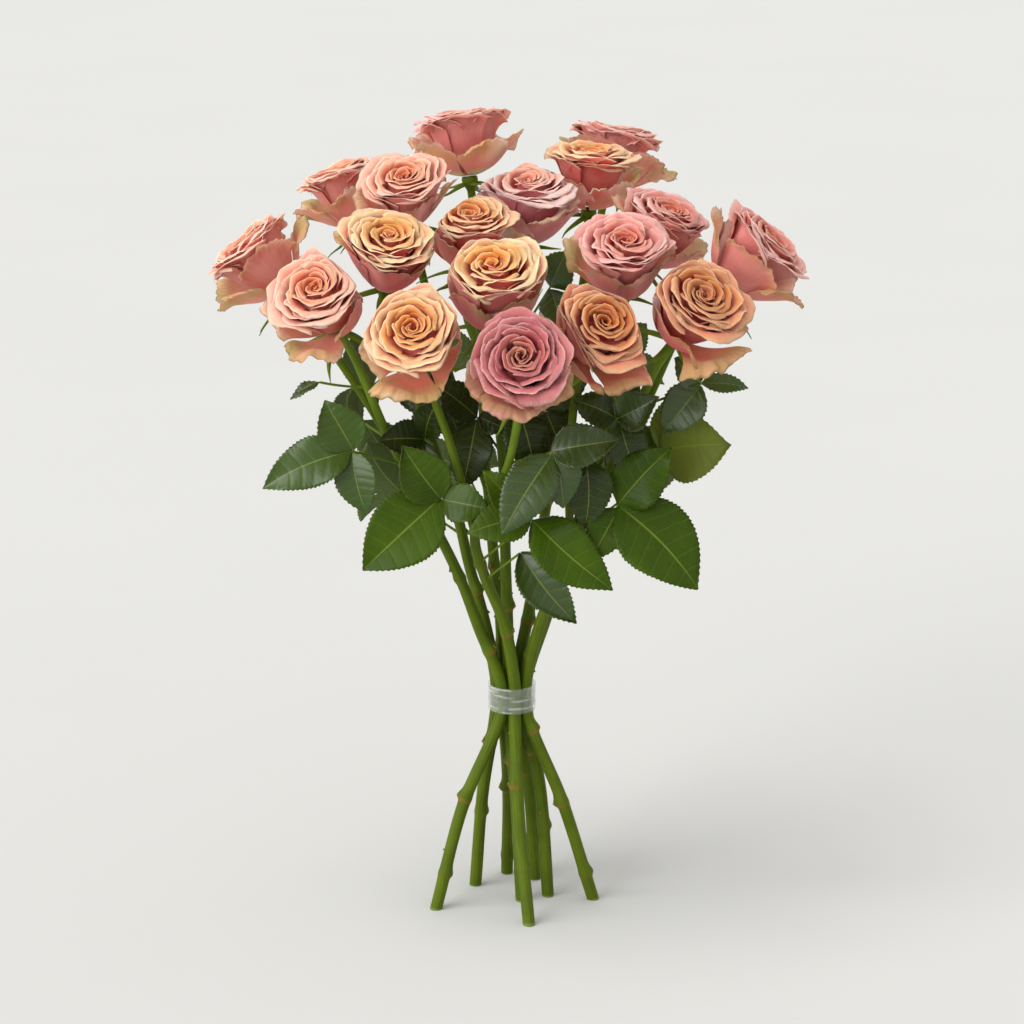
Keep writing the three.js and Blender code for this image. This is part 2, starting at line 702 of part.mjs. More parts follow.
// Which side of the joint each leaflet grows from: the one that goes straight
// on is at the tip, and the others are at its left and right
function placed(leaf, joint, along, right) {
  const found = leaf.leaflets.map(([tip, width]) => {
    const way = vector(tip).sub(joint);
    return { tip, width, turn: Math.atan2(way.dot(right), way.dot(along)) };
  });
  found.sort((a, b) => a.turn - b.turn);
  const straight = found.length === 3 ? found[1]
    : found.reduce((a, b) => (Math.abs(b.turn) < Math.abs(a.turn) ? b : a));
  const order = found.indexOf(straight);
  return found.map((entry, at) => ({
    ...entry, side: at === order ? "tip" : at < order ? "left" : "right",
  }));
}

function stemMesh(name) {
  const stem = STEMS[name];
  const paths = stemPaths(stem);
  const bodies = [trunkBody(stem, paths[0]), ...paths.slice(1).map(sideBranchBody)];
  for (const branch of stem.branches) bodies.push(calyx(BLOOMS[branch.bloom]));
  for (const leaf of LEAVES[name] ?? []) bodies.push(leafBody(leaf, paths));
  return named(name, joined(bodies), "#4d6b2c", 0.55);
}

// ---- The tie ---------------------------------------------------------------

function tieMesh() {
  const outer = TIE_INNER_R + TIE_WALL;
  const low = TIE_MIDDLE_Z - TIE_HEIGHT / 2;
  const high = TIE_MIDDLE_Z + TIE_HEIGHT / 2;
  const profile = [[TIE_INNER_R, low], [outer, low], [outer, high], [TIE_INNER_R, high],
    [TIE_INNER_R, low]];
  const geometry = new THREE.LatheGeometry(profile.map(([x, y]) => new THREE.Vector2(x, y)), 32);
  geometry.rotateX(Math.PI / 2);
  const material = new THREE.MeshStandardMaterial({
    color: "#e3e6e4", roughness: 0.25, metalness: 0, transparent: true, opacity: 0.4,
  });
  const mesh = new THREE.Mesh(geometry, material);
  mesh.name = "tie_band";
  return mesh;
}

// ---- The bunch -------------------------------------------------------------

const bunch = new THREE.Group();
bunch.add(tieMesh());
for (const name of Object.keys(STEMS)) bunch.add(stemMesh(name));
for (const name of Object.keys(BLOOMS)) bunch.add(bloomMesh(name));

// The middle of the bunch's box comes over the origin
const extent = new THREE.Box3().setFromObject(bunch, true);
const centre = extent.getCenter(new THREE.Vector3());
bunch.position.set(-centre.x, -centre.y, 0);

export default bunch;
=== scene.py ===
# %% [markdown]
# # A tied bunch of roses
# Eighteen open roses stand on eight forked stems. A clear tie holds the stems
# together at the waist, and their cut ends splay out below it, so the bunch
# stands on its own. The frame holds the plain solids. This script puts finer
# pieces in their places: heads of thin petals, saw-edged leaves, green canes.
# Lengths are in millimetres until a mesh is made, and the front faces -Y.

# %% Load the frame
import json
import math

import bpy
import numpy as np
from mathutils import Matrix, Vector


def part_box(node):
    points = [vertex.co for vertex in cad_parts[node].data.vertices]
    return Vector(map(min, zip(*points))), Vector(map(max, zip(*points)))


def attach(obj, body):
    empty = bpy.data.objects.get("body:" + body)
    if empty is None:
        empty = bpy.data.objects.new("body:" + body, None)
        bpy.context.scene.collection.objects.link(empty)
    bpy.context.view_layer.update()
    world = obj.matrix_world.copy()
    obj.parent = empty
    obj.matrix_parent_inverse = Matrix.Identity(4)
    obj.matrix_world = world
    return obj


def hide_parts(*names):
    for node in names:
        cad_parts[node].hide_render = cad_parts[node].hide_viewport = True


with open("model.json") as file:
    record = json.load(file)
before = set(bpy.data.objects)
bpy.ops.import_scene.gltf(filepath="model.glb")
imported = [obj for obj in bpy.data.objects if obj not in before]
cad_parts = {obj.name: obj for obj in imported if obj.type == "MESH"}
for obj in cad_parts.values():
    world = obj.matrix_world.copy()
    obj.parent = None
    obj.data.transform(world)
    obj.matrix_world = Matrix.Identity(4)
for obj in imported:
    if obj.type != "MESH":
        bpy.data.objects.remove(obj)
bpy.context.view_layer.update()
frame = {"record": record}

MM = 0.001
tie_low, tie_high = (np.array(corner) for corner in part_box("tie_band"))
# The tables below count x and y from the middle of the tie, and the frame doesn't
ORIGIN = np.array([(tie_low[0] + tie_high[0]) / 2, (tie_low[1] + tie_high[1]) / 2, 0.0])

# %% [markdown]
# ## Turning numbers into meshes
# Petals, leaflets and sepals are all thin sheets: a grid of points with a front,
# a back and a rim. Modelling one by hand and copying it would make every flower
# alike, and a cloth simulation would be slow to steer. A formula over a grid
# gives each sheet its own curl, and numpy fills in thousands of points at once.
# The sheets carry attributes, such as how far along the petal a point lies, and
# the materials read those later.

# %% A pot that gathers points, faces and attributes for one mesh
class Gather:
    def __init__(self, *names):
        self.names = names
        self.points, self.quads, self.triangles = [], [], []
        self.marks = {name: [] for name in names}
        self.count = 0

    def add(self, points, quads=(), triangles=(), **marks):
        points = np.asarray(points, float).reshape(-1, 3)
        for stack, faces, corners in ((self.quads, quads, 4), (self.triangles, triangles, 3)):
            if len(faces):
                stack.append(np.asarray(faces, int).reshape(-1, corners) + self.count)
        for name in self.names:
            value = marks.get(name, 0.0)
            self.marks[name].append(np.broadcast_to(np.asarray(value, float).ravel(), len(points))
                                    if np.size(value) == 1 else np.asarray(value, float).ravel())
        self.points.append(points)
        self.count += len(points)

    def mesh(self, name):
        points = np.concatenate(self.points) * MM + ORIGIN
        quads = np.concatenate(self.quads) if self.quads else np.zeros((0, 4), int)
        triangles = np.concatenate(self.triangles) if self.triangles else np.zeros((0, 3), int)
        mesh = bpy.data.meshes.new(name)
        mesh.vertices.add(len(points))
        mesh.vertices.foreach_set("co", points.astype(np.float32).ravel())
        mesh.loops.add(quads.size + triangles.size)
        mesh.loops.foreach_set("vertex_index",
                               np.concatenate([quads.ravel(), triangles.ravel()]).astype(np.int32))
        sizes = np.concatenate([np.full(len(quads), 4), np.full(len(triangles), 3)])
        starts = np.concatenate([[0], np.cumsum(sizes)[:-1]])
        mesh.polygons.add(len(sizes))
        mesh.polygons.foreach_set("loop_start", starts.astype(np.int32))
        mesh.update(calc_edges=True)
        mesh.polygons.foreach_set("use_smooth", np.ones(len(sizes), bool))
        for mark in self.names:
            layer = mesh.attributes.new(mark, "FLOAT", "POINT")
            layer.data.foreach_set("value", np.concatenate(self.marks[mark]).astype(np.float32))
        return mesh


def piece(name, gather, material, slot, *nodes):
    made = bpy.data.objects.new(name, gather.mesh(name))
    bpy.context.scene.collection.objects.link(made)
    made.data.materials.append(material)
    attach(made, "root")
    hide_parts(*nodes)


# %% Close a sheet of points into a thin body
def unit(vectors):
    return vectors / np.maximum(np.linalg.norm(vectors, axis=-1, keepdims=True), 1e-9)


def closed_sheet(grid, thickness):
    """Points, quads and side marks. The side is 1 where the sheet's normal,
    across x along, points out of it, and 0 on the other face."""
    rows, columns = grid.shape[:2]
    normal = unit(np.cross(np.gradient(grid, axis=1), np.gradient(grid, axis=0)))
    half = np.broadcast_to(np.asarray(thickness, float), (rows, columns))[..., None] / 2
    points = np.concatenate([(grid + normal * half).reshape(-1, 3),
                             (grid - normal * half).reshape(-1, 3)])
    index = np.arange(rows * columns).reshape(rows, columns)
    a, b = index[:-1, :-1], index[:-1, 1:]
    c, d = index[1:, 1:], index[1:, :-1]
    front = np.stack([a, b, c, d], -1).reshape(-1, 4)
    behind = rows * columns
    back = front[:, ::-1] + behind
    rim = np.concatenate([index[0, :], index[1:, -1], index[-1, -2::-1], index[-2:0:-1, 0]])
    after = np.roll(rim, -1)
    walls = np.stack([rim, rim + behind, after + behind, after], -1)
    side = np.repeat([1.0, 0.0], behind)
    return points, np.concatenate([front, back, walls]), side


def twice(values):
    return np.concatenate([np.ravel(values), np.ravel(values)])


def cubic(controls, t):
    a, b, c, d = controls
    s = 1 - t
    return a * s**3 + 3 * b * s * s * t + 3 * c * s * t * t + d * t**3


def smooth(low, high, value):
    t = np.clip((value - low) / (high - low), 0, 1)
    return t * t * (3 - 2 * t)


# %% [markdown]
# ## Where the heads are
# Each rose leans its own way, outward from the middle of the bunch. One row of
# the table gives the top of its stem, the lean, the turn about its own axis, its
# size, how far each of its five guard petals has folded down, and its tone. Roses
# of this kind fade from apricot to dusty pink, so the heads share seven tones.

# %% The table of heads
BLOOMS = {
    "bloom_01": ((-135, -15, 389), (180, 39), 10, 1,
                 (1, 0.1, 0.6, 0, 0.5), "coral"),
    "bloom_02": ((-102, -51, 376), (-116, 42), 40, 1.02,
                 (0.3, 0.1, 0.2, 0.2, 1), "coral"),
    "bloom_03": ((-93, 46, 417), (169, 20), 75, 0.94,
                 (0.5, 0.6, 0.2, 0.7, 0.8), "coral"),
    "bloom_04": ((-59, 12, 425), (-105, 27), 5, 0.92,
                 (0.3, 1, 0.2, 0.2, 0.7), "coral"),
    "bloom_05": ((-26, 66, 443), (128, 12), 58, 1,
                 (0.9, 1, 0.8, 0.3, 0.4), "pink"),
    "bloom_06": ((-74, -35, 398), (-80, 30), 20, 1,
                 (0.2, 0.2, 0.3, 0.4, 0.1), "cream"),
    "bloom_07": ((-26, -5, 402), (-84, 19), 60, 0.95,
                 (0.9, 0.2, 0.2, 0.1, 0.3), "apricot"),
    "bloom_08": ((-53, -70, 363), (-97, 52), 30, 1.03,
                 (0.9, 0.1, 0.1, 0.1, 1), "apricot"),
    "bloom_09": ((-11, -49, 379), (-90, 28), 0, 1.13,
                 (0.3, 0.1, 0.1, 0.2, 0.4), "cream"),
    "bloom_10": ((5, -90, 354), (-90, 56), 18, 0.99,
                 (0.3, 0.5, 0.4, 0.3, 0.4), "dusty"),
    "bloom_11": ((9, 41, 408), (-90, 16), 66, 1.08,
                 (0.2, 0.2, 0.2, 0.3, 0.2), "blush"),
    "bloom_12": ((47, 71, 422), (-58, 5), 33, 0.96,
                 (0.5, 0.2, 1, 0.9, 1), "apricot"),
    "bloom_13": ((59, 120, 425), (37, 14), 12, 1,
                 (0.3, 0.4, 0.3, 0.5, 1.2), "pink"),
    "bloom_14": ((63, -30, 392), (-80, 26), 55, 1,
                 (0.2, 0.2, 0.8, 0.4, 0.5), "pink"),
    "bloom_15": ((80, 20, 399), (-24, 26), 25, 0.98,
                 (1, 0.2, 0.2, 0.2, 0.6), "pink"),
    "bloom_16": ((45, -60, 360), (-74, 47), 70, 1.08,
                 (0.3, 0.2, 0.2, 0.7, 0.7), "peach"),
    "bloom_17": ((96, -51, 370), (-58, 42), 48, 1.06,
                 (0.2, 0.1, 0.8, 0.3, 1), "peach"),
    "bloom_18": ((126, -9, 391), (-8, 44), 15, 1.07,
                 (0.3, 0.4, 0.6, 0.2, 0.6), "pink"),
}


HEAD_SCALE = 1.05


class Head:
    """A rose's axis and the two directions square to it."""
    def __init__(self, name):
        at, lean, turn, size, self.folds, self.tone = BLOOMS[name]
        heading, tilt = math.radians(lean[0]), math.radians(lean[1])
        self.name = name
        self.base = np.array(at, float)
        self.axis = np.array([math.sin(tilt) * math.cos(heading),
                              math.sin(tilt) * math.sin(heading), math.cos(tilt)])
        self.first = np.array([math.cos(tilt) * math.cos(heading),
                               math.cos(tilt) * math.sin(heading), -math.sin(tilt)])
        self.second = np.cross(self.axis, self.first)
        self.turn, self.turned = turn, math.radians(turn)
        self.scale = size * HEAD_SCALE

    def at(self, radius, angle, height):
        radius, angle, height = np.broadcast_arrays(radius, angle + self.turned, height)
        return (self.base + height[..., None] * self.axis
                + (radius * np.cos(angle))[..., None] * self.first
                + (radius * np.sin(angle))[..., None] * self.second)


HEADS = {name: Head(name) for name in BLOOMS}
print(len(HEADS), "heads")

# %% [markdown]
# ## Petals that give way to their neighbours
# In a full bunch the heads touch, and soft petals fold back where they do. The
# plane half-way between two heads stands for that contact: a point that would
# pass it is pressed back, softly at first and then firmly. Each rose so keeps to
# its own cell, and no petal cuts through another rose.

# %% Press a head's points back from its neighbours
BLOOM_MIDDLE = 20
PRESS_GAP = 0.35
PRESS_DEPTH = 10
PRESS_ROUNDS = 3
MIDDLES = {name: head.base + head.axis * BLOOM_MIDDLE for name, head in HEADS.items()}


def pressed(name, points):
    own = MIDDLES[name]
    for _ in range(PRESS_ROUNDS):
        for other, middle in MIDDLES.items():
            if other == name:
                continue
            away = middle - own
            limit = np.linalg.norm(away) / 2 - PRESS_GAP
            away = away / np.linalg.norm(away)
            reach = (points - own) @ away
            start = limit - PRESS_DEPTH
            soft = start + PRESS_DEPTH * (1 - np.exp(np.minimum(0, (start - reach) / PRESS_DEPTH)))
            points = points + np.where(reach > start, soft - reach, 0)[:, None] * away
    return points


nearest = min(np.linalg.norm(a - b) for n, a in MIDDLES.items() for m, b in MIDDLES.items() if n < m)
print("nearest two heads are", round(float(nearest), 1), "mm apart")

# %% [markdown]
# ## One petal
# A rose petal leaves the base narrow, rises like the side of a funnel, and its
# margin rolls outward. The side view is a cubic curve from base to rim. Slow
# waves bend the margin, quick ones crinkle it every few millimetres, small tears
# nibble at it, a cusp marks its middle, and its corners are rounded off. The very
# edge curls once more, as a hem does. The rows of points crowd towards the rim,
# where all this happens. The sheet thins from a third of a millimetre at the
# base to half that at the rim.

# %% The petal's sheet
PETAL_THICK, RIM_THICK = 0.32, 0.16
CRINKLE_LENGTH = 7
ROW_CROWDING = 1.6
CORNER_POWER = 2.4
ROLL_START, HEM_START = 0.72, 0.93
CUSP_HALF_WIDTH = 0.13
FOOT_WIDTH = 0.62


def petal_sheet(head, draw, angle, half_width, radii, heights, *, lap=0.0, lip=(1.0, 0.6),
                curl=0.8, ruffle=0.4, crinkle=0.1, ragged=0.01, corner=0.12, cusp=0.4,
                start=0.0, across=20, along=15):
    u = np.linspace(-1, 1, across + 1)[None, :]
    v = 1 - (1 - np.linspace(0, 1, along + 1)[:, None]) ** ROW_CROWDING
    slow, slower = draw.uniform((1.0, 0.7), (2.3, 1.7))
    phases = draw.uniform(0, 2 * math.pi, 4)
    quick = math.pi * 2 * half_width * radii[-1] / CRINKLE_LENGTH
    tears = 0.5 + 0.3 * np.sin(0.8 * quick * u + phases[1]) + 0.2 * np.sin(1.9 * quick * u + phases[3])
    t = start + (1 - start) * v * (1 - corner * np.abs(u) ** CORNER_POWER - ragged * tears)
    roll = smooth(ROLL_START, 1.0, v) ** 1.6 * (1 + 0.4 * np.sin(2.1 * u + phases[3]))
    hem = np.clip((v - HEM_START) / (1 - HEM_START), 0, 1) * curl
    hem = hem * (1 + 0.5 * np.sin(3.3 * u + phases[2]))
    near_rim = smooth(0.45, 1.0, v)
    radius = cubic(radii, t) + lap * u * v + lip[0] * roll + hem
    radius = radius + 0.5 * lip[0] * smooth(0.6, 1.0, np.abs(u)) * near_rim
    radius = radius + ruffle * near_rim * np.sin(slow * math.pi * u + phases[0])
    wander = 1.6 * np.sin(4.1 * u + phases[2])
    radius = radius + crinkle * roll * np.sin(quick * u + phases[1] + wander)
    height = cubic(heights, t) - lip[1] * roll - 1.1 * hem**2 / max(curl, 0.1)
    height = height + draw.normal(0, 0.35 + ruffle * 0.5) * u * near_rim
    height = height + ruffle * near_rim * np.sin(slower * math.pi * u + phases[3])
    height = height + 1.2 * crinkle * roll * np.sin(0.9 * quick * u + phases[2] - wander)
    from_cusp = (u - 0.1 * math.sin(phases[0])) / CUSP_HALF_WIDTH
    point = np.exp(-(from_cusp**2)) * smooth(0.8, 1.0, v)
    turned = angle + u * half_width * (FOOT_WIDTH + (1 - FOOT_WIDTH) * t**0.5)
    grid = head.at((radius + 0.9 * cusp * point) * head.scale, turned,
                   (height + 0.3 * cusp * point) * head.scale)
    return grid, np.broadcast_to(u, t.shape), np.broadcast_to(v, t.shape)


# %% [markdown]
# ## A whole head
# Petals grow in a spiral, each about 137.5 degrees on from the last, which
# spreads them evenly however many there are. The young ones in the heart are
# folded close, and the heart sits a little off the axis. Outside them come five
# rings of broad petals. The rings of five flare and show their faces, and the
# rings of four fill the clefts between them. The last five are the guard petals.
# Some stand against the head and some have folded out and down, as far as in the
# frame's own heads, so that the outline stays the same. A packed core stands for
# the petals that nobody sees, so that no light shines through from below.

# %% The spiral of inner petals
GOLDEN = math.radians(137.508)
INNER = 16
INNER_AGE = 0.55
OFF_AXIS = 1.3
HEART_RIM, INNER_SPREAD = 1.4, 12.8
HEART_HEIGHT, INNER_RISE = 35.6, 3.0


def inner_petals(head, draw):
    off_axis = draw.uniform(0, 2 * math.pi)
    for number in range(INNER):
        age = number / (INNER - 1)
        angle = number * GOLDEN + draw.normal(0, 0.22)
        shift = OFF_AXIS * (1 - age) * math.cos(angle - off_axis)
        rim = HEART_RIM + INNER_SPREAD * age + draw.normal(0, 0.3) + shift
        height = HEART_HEIGHT + INNER_RISE * math.sin(0.5 * math.pi * age**0.7)
        flare = min(0.6 * rim, 1.2 + 3.8 * age)
        yield INNER_AGE * age, petal_sheet(
            head, draw, angle, 1.05 + 0.8 * (1 - age) ** 2,
            (2.2, 0.6 * (rim - flare) + 1.8, rim - flare, rim),
            (2, 12, height - 1.1 * flare, height + draw.normal(0, 0.6)),
            lap=draw.uniform(0.5, 1.2) + 1.0 * age, lip=(0.3 + 0.6 * age, 0.1 + 0.4 * age),
            curl=0.25 + 0.6 * age, ruffle=0.25 + 0.3 * age, crinkle=0.05 + 0.05 * age,
            cusp=0.4 + 0.5 * age, start=0.42, across=24, along=12)


# %% The broad petals
# Petals, age, turn as a share of a petal, rim radius, side view radii, heights
# and lip. The rings of five show most of their faces and get more points.
SHOWN_RING = 5
BROAD_RINGS = (
    (4, 0.62, 0.30, 16.6, (3.0, 10.0, 12.0), (2.0, 10.0, 33.6, 38.8), (0.9, 0.7)),
    (4, 0.66, 0.75, 17.8, (3.1, 11.5, 13.4), (1.8, 9.5, 31.0, 36.6), (0.8, 0.6)),
    (5, 0.74, 0.85, 20.6, (3.2, 13.5, 15.4), (1.6, 9.0, 32.4, 38.6), (1.3, 1.4)),
    (4, 0.80, 0.35, 22.0, (3.3, 15.0, 16.8), (1.4, 8.0, 30.0, 35.4), (1.1, 1.2)),
    (5, 0.87, 0.10, 25.0, (3.5, 16.5, 18.6), (1.2, 7.5, 31.4, 38.0), (2.2, 2.8)),
)


def broad_petals(head, draw):
    for count, age, share, rim, radii, heights, lip in BROAD_RINGS:
        for petal in range(count):
            shown = count == SHOWN_RING
            angle = (petal + share) / count * 2 * math.pi + draw.normal(0, 0.12)
            tall = np.array(heights) + (0, 0, 0, draw.normal(0, 0.7))
            yield age, petal_sheet(
                head, draw, angle, 0.92, (*radii, rim + draw.normal(0, 0.7)), tall,
                lap=draw.uniform(1.2, 2.6), lip=lip, curl=draw.uniform(0.7, 1.3), ruffle=0.8,
                crinkle=0.16, ragged=0.018, corner=0.17, cusp=1.2, start=0.12,
                across=36 if shown else 22, along=14 if shown else 11)


# %% The guard petals
GUARDS = 5
GUARD_AGE = 0.9
GUARD_RIM, GUARD_HEIGHT = 28.5, 32.5
FOLD_OUT, FOLD_DOWN = 7, 12


def guard_petals(head, draw):
    for petal, fold in enumerate(head.folds):
        mood = math.sin(petal * 2.4 + head.turn) * math.cos(petal * 1.3 - head.turn)
        lip = np.array((1.8 + 0.6 * fold, 2.2 + 2.0 * fold))
        rim = GUARD_RIM + FOLD_OUT * fold + 1.2 * mood - lip[0]
        height = GUARD_HEIGHT - FOLD_DOWN * fold + 2 * mood + lip[1]
        angle = (petal + 0.5) / GUARDS * 2 * math.pi + draw.normal(0, 0.05)
        yield GUARD_AGE + (1 - GUARD_AGE) * min(1, fold), petal_sheet(
            head, draw, angle, 0.84 - 0.16 * fold, (4.4, 18 + 1.5 * fold, 21.5 + 6.5 * fold, rim),
            (0.4, 3, 22 - 9 * fold, height), lap=draw.uniform(0.8, 2.2), lip=lip, curl=1.2,
            ruffle=1.1 + 0.9 * fold, crinkle=0.25 + 0.3 * fold, ragged=0.05, corner=0.2,
            cusp=2.4, across=42, along=16)


# %% The packed core, and one head
# Radius and height of the core's side view, from its top to its foot
CORE = np.array([(0.5, 30), (5, 29.5), (9.5, 29), (13.2, 29.5), (13, 26), (11, 16), (6, 7), (3, 2.5)])
CORE_SIDES = 48
CORE_AGE = 0.3


def core_sheet(head):
    turns = np.linspace(0, 2 * math.pi, CORE_SIDES + 1)[None, :]
    radii, heights = CORE[:, :1], CORE[:, 1:]
    wave = 1 + 0.04 * np.sin(5 * turns + head.turn)
    grid = head.at(radii * wave * head.scale, -turns, heights * head.scale * (2 - wave))
    return grid, np.broadcast_to(np.sin(turns), grid.shape[:2])


HEAD_SEED = 1000


def head_mesh(head):
    draw = np.random.default_rng(HEAD_SEED + int(head.name[-2:]))
    gather = Gather("along", "across", "age", "side", "lot")
    grid, across = core_sheet(head)
    points, quads, side = closed_sheet(grid, PETAL_THICK)
    gather.add(pressed(head.name, points), quads, along=0.5, across=twice(across),
               age=CORE_AGE, side=1.0, lot=0.5)
    for petals in (inner_petals, broad_petals, guard_petals):
        for age, (grid, u, v) in petals(head, draw):
            points, quads, side = closed_sheet(grid, PETAL_THICK + (RIM_THICK - PETAL_THICK) * v)
            gather.add(pressed(head.name, points), quads, along=twice(v), across=twice(u),
                       age=age, side=side, lot=draw.random())
    return gather


# %% [markdown]
# ## Effects that several finishes share
# Plant surfaces are never one flat colour. Two effects come back in petals,
# leaves and canes: soft patches, and fine fibres that run along the growth. Each
# is a node group with its own dials, built once. A group only puts out masks,
# and each material decides what to do with them.

# %% Small helpers for shader nodes
def linear(hexadecimal):
    parts = [int(hexadecimal[i:i + 2], 16) / 255 for i in (0, 2, 4)]
    return tuple(c / 12.92 if c < 0.04045 else ((c + 0.055) / 1.055) ** 2.4 for c in parts) + (1.0,)


def node(tree, kind, inputs=None, **settings):
    made = tree.nodes.new("ShaderNode" + kind)
    for key, value in settings.items():
        setattr(made, key, value)
    for key, value in (inputs or {}).items():
        if isinstance(value, bpy.types.NodeSocket):
            tree.links.new(value, made.inputs[key])
        else:
            made.inputs[key].default_value = value
    return made


def maths(tree, operation, first, second=0.0):
    return node(tree, "Math", {0: first, 1: second}, operation=operation).outputs[0]


def times(tree, first, second):
    return maths(tree, "MULTIPLY", first, second)


def remap(tree, value, low, high, out_low=0.0, out_high=1.0):
    return node(tree, "MapRange", {0: value, 1: low, 2: high, 3: out_low, 4: out_high},
                interpolation_type="SMOOTHSTEP").outputs[0]


def blend(tree, factor, first, second, how="MIX"):
    made = tree.nodes.new("ShaderNodeMix")
    made.data_type, made.blend_type = "RGBA", how
    for socket, value in ((made.inputs["Factor"], factor), (made.inputs[6], first),
                          (made.inputs[7], second)):
        if isinstance(value, bpy.types.NodeSocket):
            tree.links.new(value, socket)
        else:
            socket.default_value = value
    return made.outputs[2]


def mark(tree, name):
    return node(tree, "Attribute", attribute_name=name).outputs["Fac"]


def new_group(name, inputs):
    group = bpy.data.node_groups.new(name, "ShaderNodeTree")
    for title, value in inputs.items():
        socket = group.interface.new_socket(title, in_out="INPUT", socket_type="NodeSocketFloat")
        socket.default_value = value
    group.interface.new_socket("Mask", in_out="OUTPUT", socket_type="NodeSocketFloat")
    return group, group.nodes.new("NodeGroupInput"), group.nodes.new("NodeGroupOutput")


def place(tree, group, **inputs):
    made = tree.nodes.new("ShaderNodeGroup")
    made.node_tree = group
    for title, value in inputs.items():
        socket = made.inputs[title.replace("_", " ")]
        if isinstance(value, bpy.types.NodeSocket):
            tree.links.new(value, socket)
        else:
            socket.default_value = value
    return made.outputs["Mask"]


# %% Soft patches and fine fibres
def make_patches():
    group, inputs, outputs = new_group("soft patches", {"Size": 60.0, "Low": 0.35, "High": 0.65})
    where = node(group, "TexCoord").outputs["Object"]
    noise = node(group, "TexNoise", {"Vector": where, "Scale": inputs.outputs["Size"], "Detail": 4.0})
    made = node(group, "MapRange", {0: noise.outputs["Fac"], 1: inputs.outputs["Low"],
                                    2: inputs.outputs["High"]}, interpolation_type="SMOOTHSTEP")
    group.links.new(made.outputs[0], outputs.inputs["Mask"])
    return group


def make_fibres():
    group, inputs, outputs = new_group("fine fibres", {"Across": 0.0, "Along": 0.0, "Lot": 0.0,
                                                       "Count": 30.0, "Stretch": 2.0})
    where = node(group, "CombineXYZ", {
        0: times(group, inputs.outputs["Across"], inputs.outputs["Count"]),
        1: times(group, inputs.outputs["Along"], inputs.outputs["Stretch"]),
        2: times(group, inputs.outputs["Lot"], 40.0)}).outputs[0]
    noise = node(group, "TexNoise", {"Vector": where, "Scale": 1.0, "Detail": 3.0})
    group.links.new(remap(group, noise.outputs["Fac"], 0.3, 0.7), outputs.inputs["Mask"])
    return group


PATCHES = make_patches()
FIBRES = make_fibres()
print("node groups:", PATCHES.name, "and", FIBRES.name)


# %% A new material with its main shader
def new_material(name, **values):
    material = bpy.data.materials.new(name)
    material.use_nodes = True
    tree = material.node_tree
    shader = tree.nodes["Principled BSDF"]
    for title, value in values.items():
        shader.inputs[title.replace("_", " ")].default_value = value
    return material, tree, shader


def bump(tree, shader, height, strength, distance):
    made = node(tree, "Bump", {"Height": height, "Strength": strength, "Distance": distance})
    tree.links.new(made.outputs[0], shader.inputs["Normal"])


# %% [markdown]
# ## The petals' finish
# A petal is matt and slightly see-through, like thick silk. Its colour deepens
# towards its base, where the deep colour also stands for painted shade and a
# painted glow between the crowded petals. It pales to a thin light rim, which is
# partly its own paler margin and partly a painted highlight along the edge. Fine
# veins streak it, and its back is rosier than its face, with a green-yellow foot.
# The guard petals have dried: they turn tan and olive towards the margin, and its
# edge is brown.
# Light that scatters inside the petal is the shader's subsurface part, and a
# little sheen stands for the fine cells that catch light at a glancing angle.

# %% One petal material for each tone
# The colours are those of the heart, the depths between petals (the petals'
# own deeper base, with painted shade and a painted glow), the inner petals'
# faces, the broad petals' faces, the rim (a paler margin, with a painted
# highlight on the very edge) and the back
TONES = {
    "cream": ("F49A30", "DC6A34", "FBB866", "FDD498", "FFEDC8", "EA6C68"),
    "apricot": ("EE8C28", "D0582A", "F6A65A", "F9C48C", "FFE8C2", "E8665E"),
    "peach": ("DC7826", "A8401E", "DE8848", "E09264", "F4CAA6", "D65A56"),
    "coral": ("EE8848", "D05040", "F4A478", "F6B294", "FFE2CE", "EC8478"),
    "blush": ("F4965E", "DE6456", "FAB092", "FCC8B8", "FFEADF", "E07478"),
    "pink": ("E67A4C", "C63E40", "EE8E78", "EE9C92", "FCD4C4", "E27A72"),
    "dusty": ("D87850", "80202A", "BC4E50", "C4686C", "ECB6AC", "B44A50"),
}
TAN, OLIVE, DRY, FOOT = (linear(colour) for colour in ("B4854E", "8E8848", "70441E", "D8CE96"))
STREAK = (0.74, 0.42, 0.38, 1)


